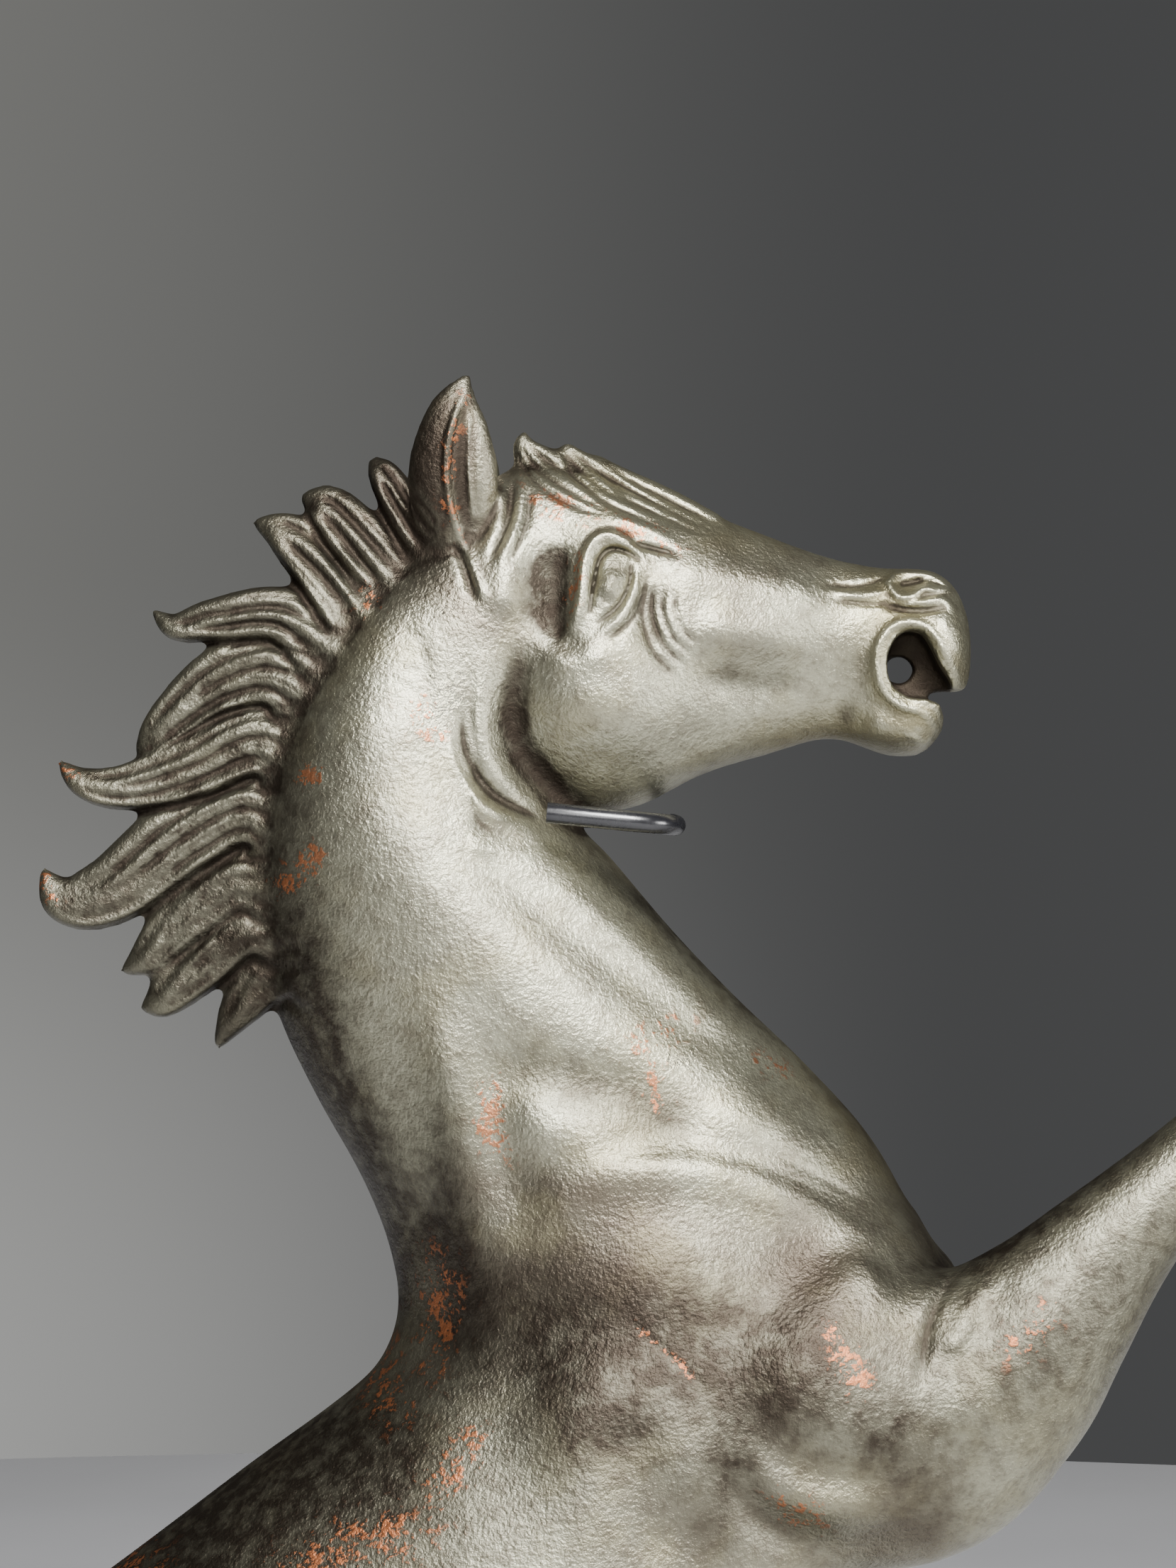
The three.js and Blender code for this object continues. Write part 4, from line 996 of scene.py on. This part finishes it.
def bronze(name="patinated_bronze", wear=0.5):
    material, tree, shader = new_material(name, 0.9, 0.4)
    patina = placed_group(tree, bpy.data.node_groups.get("patina_and_painted_shade") or bronze_group(), {"Wear": wear})
    for label in ("Proud", "Rub", "Patina_and_shade", "Green"):
        stored = node(tree, "ShaderNodeAttribute", {"attribute_name": label.lower()})
        tree.links.new(stored.outputs["Fac"], patina.inputs[label])
    tree.links.new(patina.outputs["Color"], shader.inputs["Base Color"])
    tree.links.new(patina.outputs["Roughness"], shader.inputs["Roughness"])
    bump(tree, shader, patina.outputs["Height"], 0.00018, 0.9)
    return material


def speckled(name, colour, other, metallic, roughness, coarse, fine, bump_mm, low=0.35, high=0.65):
    """A material that varies between two colours, with a grain in its surface."""
    material, tree, shader = new_material(name, metallic, roughness)
    grain = placed_group(tree, bpy.data.node_groups.get("fine_grain") or grain_group(),
                         {"Coarse scale": coarse, "Fine scale": fine})
    shade = mixed(tree, spread(tree, grain.outputs["Coarse"], low, high), colour, other)
    tree.links.new(shade, shader.inputs["Base Color"])
    rough = plus(tree, times(tree, grain.outputs["Fine"], 0.16), roughness - 0.08)
    tree.links.new(rough, shader.inputs["Roughness"])
    bump(tree, shader, grain.outputs["Fine"], bump_mm * MM, 0.6)
    return material


def finish_piece(obj, material, body, slot, *nodes):
    obj.data.materials.clear()
    obj.data.materials.append(material)
    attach(obj, body)
    if nodes:
        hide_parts(*nodes)
    return obj


# ---- settings -----------------------------------------------------------------------------------


class BronzeSettings(bpy.types.PropertyGroup):
    fineness: bpy.props.FloatProperty(
        name="Skin fineness", description="Side of the figure's mesh faces", default=0.00045,
        min=0.0002, max=0.002, unit="LENGTH")
    rough_fineness: bpy.props.FloatProperty(
        name="Clay fineness", description="Side of the faces that the big masses are blended at",
        default=0.0009, min=0.0005, max=0.003, unit="LENGTH")
    wear: bpy.props.FloatProperty(
        name="Wear", description="How far raised edges are rubbed to metal", default=0.6, min=0, max=1,
        subtype="FACTOR")


class StageSettings(bpy.types.PropertyGroup):
    distance: bpy.props.FloatProperty(
        name="Camera distance", description="From the lens to the horse's middle plane", default=0.45,
        unit="LENGTH")
    view_height: bpy.props.FloatProperty(
        name="View height", description="Height of the view at the middle plane", default=0.17015,
        unit="LENGTH")
    floor_radius: bpy.props.FloatProperty(
        name="Floor radius", description="Radius of the round floor", default=0.9, unit="LENGTH")
    floor_colour: bpy.props.FloatVectorProperty(
        name="Floor", description="Colour of the floor", default=(0.52, 0.52, 0.53), subtype="COLOR")


# ---- operators ----------------------------------------------------------------------------------


class BRONZE_OT_stage(bpy.types.Operator):
    """Adds the camera, the lights, the surroundings and a plain pale floor"""

    bl_idname = "bronze.stage"
    bl_label = "Camera, lights and floor"

    def execute(self, context):
        settings = context.scene.bronze_stage
        sensor = 36
        camera = bpy.data.cameras.new("camera")
        camera.sensor_width = sensor
        camera.lens = sensor * settings.distance / settings.view_height
        camera.clip_start = 0.01
        eye = bpy.data.objects.new("camera", camera)
        eye.location = (VIEW_X, -settings.distance, VIEW_Z)
        eye.rotation_euler = (math.pi / 2, 0, 0)
        context.scene.collection.objects.link(eye)
        context.scene.camera = eye

        deselect()
        bpy.ops.mesh.primitive_circle_add(vertices=128, radius=settings.floor_radius, fill_type="NGON")
        floor = context.active_object
        floor.name = "floor"
        pale = (*settings.floor_colour, 1)
        dusky = (*[c * 0.94 for c in settings.floor_colour], 1)
        material = speckled("pale_floor", pale, dusky, 0, 0.8, 6, 400, 0.05)
        floor.data.materials.append(material)

        self.lamp(context, "key", (0.08, -0.60, 0.70), 0.28, 30)
        self.lamp(context, "side", (0.74, -0.42, 0.30), 0.26, 8.5)
        self.lamp(context, "front", (-0.10, -0.85, 0.45), 0.30, 4)
        self.lamp(context, "low", (0.0, -0.8, 0.1), 0.5, 0.5)
        self.surroundings(context)
        return {"FINISHED"}

    def lamp(self, context, name, place, size, power):
        light = bpy.data.lights.new(name, "AREA")
        light.size = size
        light.energy = power
        obj = bpy.data.objects.new(name, light)
        obj.location = place
        aim = Vector((0.03, 0, 0.19)) - Vector(place)
        obj.rotation_euler = aim.to_track_quat("-Z", "Y").to_euler()
        context.scene.collection.objects.link(obj)

    def surroundings(self, context):
        world = bpy.data.worlds.new("surroundings")
        world.use_nodes = True
        context.scene.world = world
        tree = world.node_tree
        background = tree.nodes["Background"]
        seen = node(tree, "ShaderNodeLightPath").outputs["Is Camera Ray"]
        looking = node(tree, "ShaderNodeTexCoord").outputs["Generated"]
        way = node(tree, "ShaderNodeSeparateXYZ", (), {"Vector": looking})
        # The backdrop is painted with light and shade: lit towards the bottom, shaded towards the top, and
        # darkest to the right.
        lit, shaded, far = (0.42, 0.42, 0.41, 1), (0.19, 0.19, 0.18, 1), (0.066, 0.067, 0.068, 1)
        wall = mixed(tree, spread(tree, way.outputs["Z"], -0.16, 0.06), lit, shaded)
        wall = mixed(tree, spread(tree, way.outputs["X"], -0.22, 0.1), wall, far)
        tree.links.new(mixed(tree, seen, (0.022, 0.022, 0.023, 1), wall), background.inputs["Color"])


class BRONZE_OT_figure(bpy.types.Operator):
    """Models the horse as one skin and divides it into its castings"""

    bl_idname = "bronze.figure"
    bl_label = "Horse castings"

    def execute(self, context):
        settings = context.scene.bronze_figure
        skin_mm = settings.fineness / MM * 1
        figure = self.clay(settings.rough_fineness / MM)
        figure = joined(figure, *self.fine_masses())
        fused(figure, skin_mm)
        for tool in self.mouth_tools():
            carved(figure, tool, "DIFFERENCE")
        fused(figure, skin_mm)
        settle(figure, 3)
        model(figure, FORMS)
        model(figure, HEAD_FORMS, HEAD_BOX)
        settle(figure, 2)
        refine(figure, self.seen_close)
        settle(figure, 1)
        hair = [stroke for n, line in enumerate(MANE_LOCKS) for stroke in hair_strokes(n, line)]
        model(figure, hair, MANE_BOX)
        fringe = [("ridge", 0.4, -0.45, along_lock(line, share, 0, 0.8)) for line in FORELOCKS
                  for share in (-0.4, 0.15, 0.6)]
        model(figure, fringe, FRINGE_BOX)
        model(figure, FINE, FINE_BOX)
        model(figure, EAR_STROKES, EAR_BOX)
        settle(figure, 1)
        note_relief(figure)
        self.divide(figure, bronze(wear=settings.wear))
        return {"FINISHED"}

    def seen_close(self, co):
        x, y, z = co.T
        return (y < 0.5) & (z > 208) & (x < 74)

    def clay(self, voxel):
        """The big masses, blended where they meet."""
        parts = [mass(TRUNK), mass(NECK), mass(SKULL)]
        for name, side in SIDES.items():
            fore, hind = FORELEGS[name], hind_leg(HIND_LAG[name])
            parts += [limb(stages, side * FORELEG_Y) for stages in fore.values()]
            parts += [limb(stages, side * HIND_LEG_Y) for stages in hind.values()]
        parts.append(limb(TAIL, 0, strands=5, cut=0.2))
        clay = mesh_object("figure", parts)
        fused(clay, voxel)
        settle(clay, 22, fill_only=True)
        apply(clay, "SUBSURF", levels=1, render_levels=1)
        return clay

    def fine_masses(self):
        """Ears, mane, forelock and tail locks."""
        parts = []
        for side in SIDES.values():
            parts.append(self.ear(side))
            for n, line in enumerate(MANE_LOCKS):
                parts.append(lock(line, side * 3.4, 3, 3 if n < 4 else 4))
            parts += [lock(line, side * 1.5, 2.2, 2) for line in FORELOCKS]
        parts += [lock(line, 0, 3.6, 3) for line in TAIL_LOCKS]
        return [mesh_object("locks", parts)]

    def ear(self, side):
        y = smooth_line([(5,), (5.6,), (6.4,), (7,), (7.5,), (7.7,), (7.6,), (7.4,)], 40)[:, 0] * side
        return limb(EAR, y, rings=40, sides=36)

    def mouth_tools(self):
        """The hollow in each cheek, the gap between the lips and the hole between the teeth."""
        (x, z), radius = TOOTH_GAP
        turns = [n * math.pi / 12 for n in range(24)]
        hole = [(x + radius * math.cos(t), z + radius * math.sin(t)) for t in turns]
        yield self.through("cheek", MOUTH, MOUTH_WALL, 20)
        yield self.through("cheek", MOUTH, -20, -MOUTH_WALL)
        yield self.through("gap", LIP_GAP, -20, 20)
        yield self.through("hole", hole, -20, 20)

    def through(self, name, outline, low, high):
        count = len(outline)
        verts = [(x, y, z) for y in (low, high) for x, z in outline]
        faces = [list(range(count)), list(range(2 * count - 1, count - 1, -1))]
        faces += [[i, i + count, (i + 1) % count + count, (i + 1) % count] for i in range(count)]
        tool = mesh_object(name, [(verts, faces)])
        activate(tool)
        bpy.ops.object.mode_set(mode="EDIT")
        bpy.ops.mesh.select_all(action="SELECT")
        bpy.ops.mesh.normals_make_consistent(inside=False)
        bpy.ops.object.mode_set(mode="OBJECT")
        return tool

    def divide(self, figure, material):
        """Cuts the figure into its castings. Cut faces meet, because the joints are chased flush."""
        carved(figure, box_tool((-150, -80, -20), (150, 80, GROUND)), "DIFFERENCE")
        tail = carved(copy_of(figure, "tail"), half_space(DOCK, -1), "INTERSECT")
        carved(figure, half_space(DOCK), "INTERSECT")
        self.part_legs(figure, material)
        rear = carved(copy_of(figure, "hindquarter"), half_space(WAIST, -1), "INTERSECT")
        carved(rear, half_space(STIFLE), "INTERSECT")
        carved(figure, half_space(WAIST), "INTERSECT")
        head = self.part_kept(figure, "head", (-100, -60, COLLAR_CUT), (150, 60, 300))
        carved(figure, box_tool((-100, -60, 0), (150, 60, COLLAR_CUT)), "INTERSECT")
        self.finish_casting(tail, material, "tail")
        self.finish_casting(rear, material, "hindquarter", "waist_pin_left", "waist_pin_right")
        face = self.part_kept(head, "face_right", (NAPE_CUT, -60, 0), (150, 0, 300))
        mane = self.part_kept(head, "mane_right", (-100, -60, 0), (NAPE_CUT, 0, 300))
        carved(head, box_tool((-100, 0, 0), (150, 60, 300)), "INTERSECT")
        chest = self.part_kept(figure, "chest_right", (-100, -60, 0), (150, 0, 300))
        carved(figure, box_tool((-100, 0, 0), (150, 60, 300)), "INTERSECT")
        head.name = head.data.name = "head_left"
        figure.name = figure.data.name = "chest_left"
        for obj in (face, mane, head, chest, figure):
            self.finish_casting(obj, material, "forehand")

    def part_kept(self, obj, name, low, high):
        """A copy of the part of an object that lies in a box."""
        return carved(copy_of(obj, name), box_tool(low, high), "INTERSECT")

    def part_legs(self, figure, material):
        forelegs = box_tool((60, -60, 95), (150, 60, 205))
        carved(forelegs, half_space(SHOULDER), "INTERSECT")
        for name, side in SIDES.items():
            low, high = sorted((0, side * 60))
            leg = carved(copy_of(figure, f"{name}_foreleg"), forelegs, "INTERSECT", keep_tool=True)
            carved(leg, box_tool((0, low, 0), (200, high, 300)), "INTERSECT")
            self.finish_casting(leg, material, f"{name}_foreleg")
            leg = carved(copy_of(figure, f"{name}_hind_leg"), half_space(STIFLE, -1), "INTERSECT")
            carved(leg, box_tool((-100, low, 0), (100, high, 300)), "INTERSECT")
            self.finish_casting(leg, material, f"{name}_hind_leg")
        carved(figure, forelegs, "DIFFERENCE")

    def finish_casting(self, obj, material, node_name, *pins):
        activate(obj)
        bpy.ops.object.shade_smooth_by_angle(angle=math.radians(70))
        mend_seams(obj)
        replaced = [f"{node_name}_casting", *pins]
        if f"{node_name}_pin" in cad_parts:
            replaced.append(f"{node_name}_pin")
        finish_piece(obj, material, "statuette", "patinated_bronze", *replaced)


class BRONZE_OT_plinth(bpy.types.Operator):
    """Models the stone plinth and its felt pad, and finishes the fixings under it"""

    bl_idname = "bronze.plinth"
    bl_label = "Plinth, felt and fixings"

    def execute(self, context):
        stone = speckled("black_stone", (0.012, 0.012, 0.013, 1), (0.03, 0.031, 0.034, 1),
                         0, 0.22, 120, 900, 0.02)
        felt = speckled("green_felt", (0.02, 0.035, 0.025, 1), (0.05, 0.08, 0.06, 1),
                        0, 0.95, 900, 3000, 0.3)
        zinc = speckled("zinc_steel", (0.52, 0.52, 0.5, 1), (0.62, 0.62, 0.6, 1),
                        1, 0.35, 300, 2500, 0.02)
        low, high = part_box("plinth")
        plinth = self.slab("stone_plinth", low, high, 0.0025, 0.003)
        finish_piece(plinth, stone, "statuette", "black_stone", "plinth")
        low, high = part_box("felt_pad")
        pad = self.slab("felt_underlay", low, high, 0.0006, 0.0006)
        finish_piece(pad, felt, "statuette", "green_felt", "felt_pad")
        for name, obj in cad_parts.items():
            if name.endswith(("_washer", "_nut", "_stud", "_screw")):
                obj.data.materials.clear()
                obj.data.materials.append(zinc)
        return {"FINISHED"}

    def slab(self, name, low, high, inset, depth):
        deselect()
        bpy.ops.mesh.primitive_cube_add(size=1, location=(low + high) / 2, scale=high - low)
        obj = bpy.context.active_object
        obj.name = obj.data.name = name
        bpy.ops.object.transform_apply(location=True, rotation=True, scale=True)
        for vertex in obj.data.vertices:
            vertex.co.z -= depth * (vertex.co.z > (low.z + high.z) / 2)
        bpy.ops.object.mode_set(mode="EDIT")
        bpy.ops.mesh.select_mode(type="FACE")
        bpy.ops.mesh.select_all(action="DESELECT")
        edit = bmesh.from_edit_mesh(obj.data)
        for face in edit.faces:
            face.select = face.normal.z > 0.9
        bmesh.update_edit_mesh(obj.data)
        bpy.ops.mesh.extrude_region_move(TRANSFORM_OT_translate={"value": (0, 0, depth)})
        size = high - low
        shrink = (1 - 2 * inset / size.x, 1 - 2 * inset / size.y, 1)
        bpy.ops.transform.resize(value=shrink, center_override=(low + high) / 2)
        bpy.ops.object.mode_set(mode="OBJECT")
        apply(obj, "BEVEL", width=min(inset, depth) * 0.3, segments=3, limit_method="ANGLE")
        activate(obj)
        bpy.ops.object.shade_smooth_by_angle(angle=math.radians(35))
        return obj


class BRONZE_OT_throat_rest(bpy.types.Operator):
    """Models the post, the receiver and the sleeved clip that steadies the throat"""

    bl_idname = "bronze.throat_rest"
    bl_label = "Throat rest"

    def execute(self, context):
        steel = speckled("black_steel", (0.012, 0.012, 0.012, 1), (0.022, 0.022, 0.023, 1),
                         0.3, 0.4, 300, 1800, 0.03)
        tube = speckled("black_sleeve", (0.005, 0.005, 0.006, 1), (0.010, 0.010, 0.011, 1),
                        0, 0.26, 400, 1500, 0.01)
        self.post(steel)
        self.receiver(steel)
        self.clip(steel, tube)
        return {"FINISHED"}

    def bar(self, name, points, radius, corner=0.0):
        """A round bar or tube through corner points, with each corner bent to a radius."""
        route = self.rounded([Vector(p) for p in points], corner)
        sides = 28
        rings = []
        along = [(b - a).normalized() for a, b in zip(route, route[1:])]
        turn = along[0].orthogonal().normalized()
        for n, point in enumerate(route):
            before, after = along[max(n - 1, 0)], along[min(n, len(along) - 1)]
            way = (before + after).normalized()
            turn = (turn - way * turn.dot(way)).normalized()
            other = way.cross(turn)
            rings.append([(point + (turn * math.cos(t) + other * math.sin(t)) * radius) / MM
                          for t in (2 * math.pi * s / sides for s in range(sides))])
        obj = mesh_object(name, [skin(np.array([[tuple(v) for v in ring] for ring in rings]))])
        return obj

    def rounded(self, points, radius):
        route = [points[0]]
        for before, corner, after in zip(points, points[1:], points[2:]):
            a, b = (before - corner).normalized(), (after - corner).normalized()
            for t in (n / 10 for n in range(11)):
                route.append(corner + a * radius * (1 - t) ** 2 + b * radius * t ** 2)
        return route + [points[-1]]

    def soften(self, obj, width):
        apply(obj, "BEVEL", width=width, segments=2, limit_method="ANGLE", angle_limit=math.radians(50))
        activate(obj)
        bpy.ops.object.shade_smooth_by_angle(angle=math.radians(40))

    def post(self, steel):
        low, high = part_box("support_post")
        radius = 0.0024
        x, y, top = (low.x + high.x) / 2, high.y - radius, high.z - radius
        arm_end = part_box("clip_receiver")[1].y + 0.0003
        obj = self.bar("post", [(x, y, 0.018), (x, y, top), (x, arm_end, top)], radius, corner=0.006)
        self.soften(obj, 0.0003)
        thread = self.bar("post_thread", [(x, y, low.z), (x, y, 0.019)], 0.0015)
        joined(obj, thread)
        finish_piece(obj, steel, "statuette", "black_steel", "support_post")

    def receiver(self, steel):
        low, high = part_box("clip_receiver")
        y, z, radius = (low.y + high.y) / 2, (low.z + high.z) / 2, (high.y - low.y) / 2
        obj = self.bar("receiver", [(low.x, y, z), (high.x, y, z)], radius)
        bore = self.bar("bore", [(low.x - 0.001, y, z), (high.x + 0.001, y, z)], 0.0009)
        carved(obj, bore, "DIFFERENCE")
        self.soften(obj, 0.0002)
        finish_piece(obj, steel, "statuette", "black_steel", "clip_receiver")

    def clip(self, steel, tube):
        low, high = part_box("throat_clip")
        rod = 0.0006
        sleeve_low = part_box("clip_sleeve")[0]
        front = high.x - rod
        far, near = high.y - rod, low.y + rod
        z = 0.213
        end = sleeve_low.x
        rise = (front - end) * 0.1
        route = [(low.x, far, z), (front, far, z), (front, near, z), (end + 0.0016, near, z + rise)]
        obj = self.bar("throat_clip_rod", route, rod, corner=0.005)
        self.soften(obj, 0.0001)
        finish_piece(obj, steel, "clip", "black_steel", "throat_clip")
        route = [(front, 0.004, z), (front, near, z), (end, near, z + rise)]
        sleeve = self.bar("sleeve", route, 0.0011, corner=0.005)
        route = [(front, 0.006, z), (front, near, z), (end - 0.002, near, z + rise)]
        inner = self.bar("inner", route, 0.0008, corner=0.005)
        carved(sleeve, inner, "DIFFERENCE")
        self.soften(sleeve, 0.00008)
        finish_piece(sleeve, tube, "clip", "black_sleeve", "clip_sleeve")


class BRONZE_PT_panel(bpy.types.Panel):
    """The horse bronze's settings and steps"""

    bl_label = "Rearing horse bronze"
    bl_idname = "BRONZE_PT_panel"
    bl_space_type = "VIEW_3D"
    bl_region_type = "UI"
    bl_category = "Bronze"

    def draw(self, context):
        for settings in (context.scene.bronze_figure, context.scene.bronze_stage):
            for name in settings.__annotations__:
                self.layout.prop(settings, name)
        for step in STEPS:
            self.layout.operator(step.bl_idname)


STEPS = (BRONZE_OT_stage, BRONZE_OT_figure, BRONZE_OT_plinth, BRONZE_OT_throat_rest)
CLASSES = (BronzeSettings, StageSettings, *STEPS, BRONZE_PT_panel)


def register():
    for cls in CLASSES:
        bpy.utils.register_class(cls)
    bpy.types.Scene.bronze_figure = bpy.props.PointerProperty(type=BronzeSettings)
    bpy.types.Scene.bronze_stage = bpy.props.PointerProperty(type=StageSettings)


def unregister():
    del bpy.types.Scene.bronze_stage
    del bpy.types.Scene.bronze_figure
    for cls in reversed(CLASSES):
        bpy.utils.unregister_class(cls)


def main():
    register()
    bpy.ops.bronze.stage()
    bpy.ops.bronze.figure()
    bpy.ops.bronze.plinth()
    bpy.ops.bronze.throat_rest()


if __name__ == "__main__":
    main()
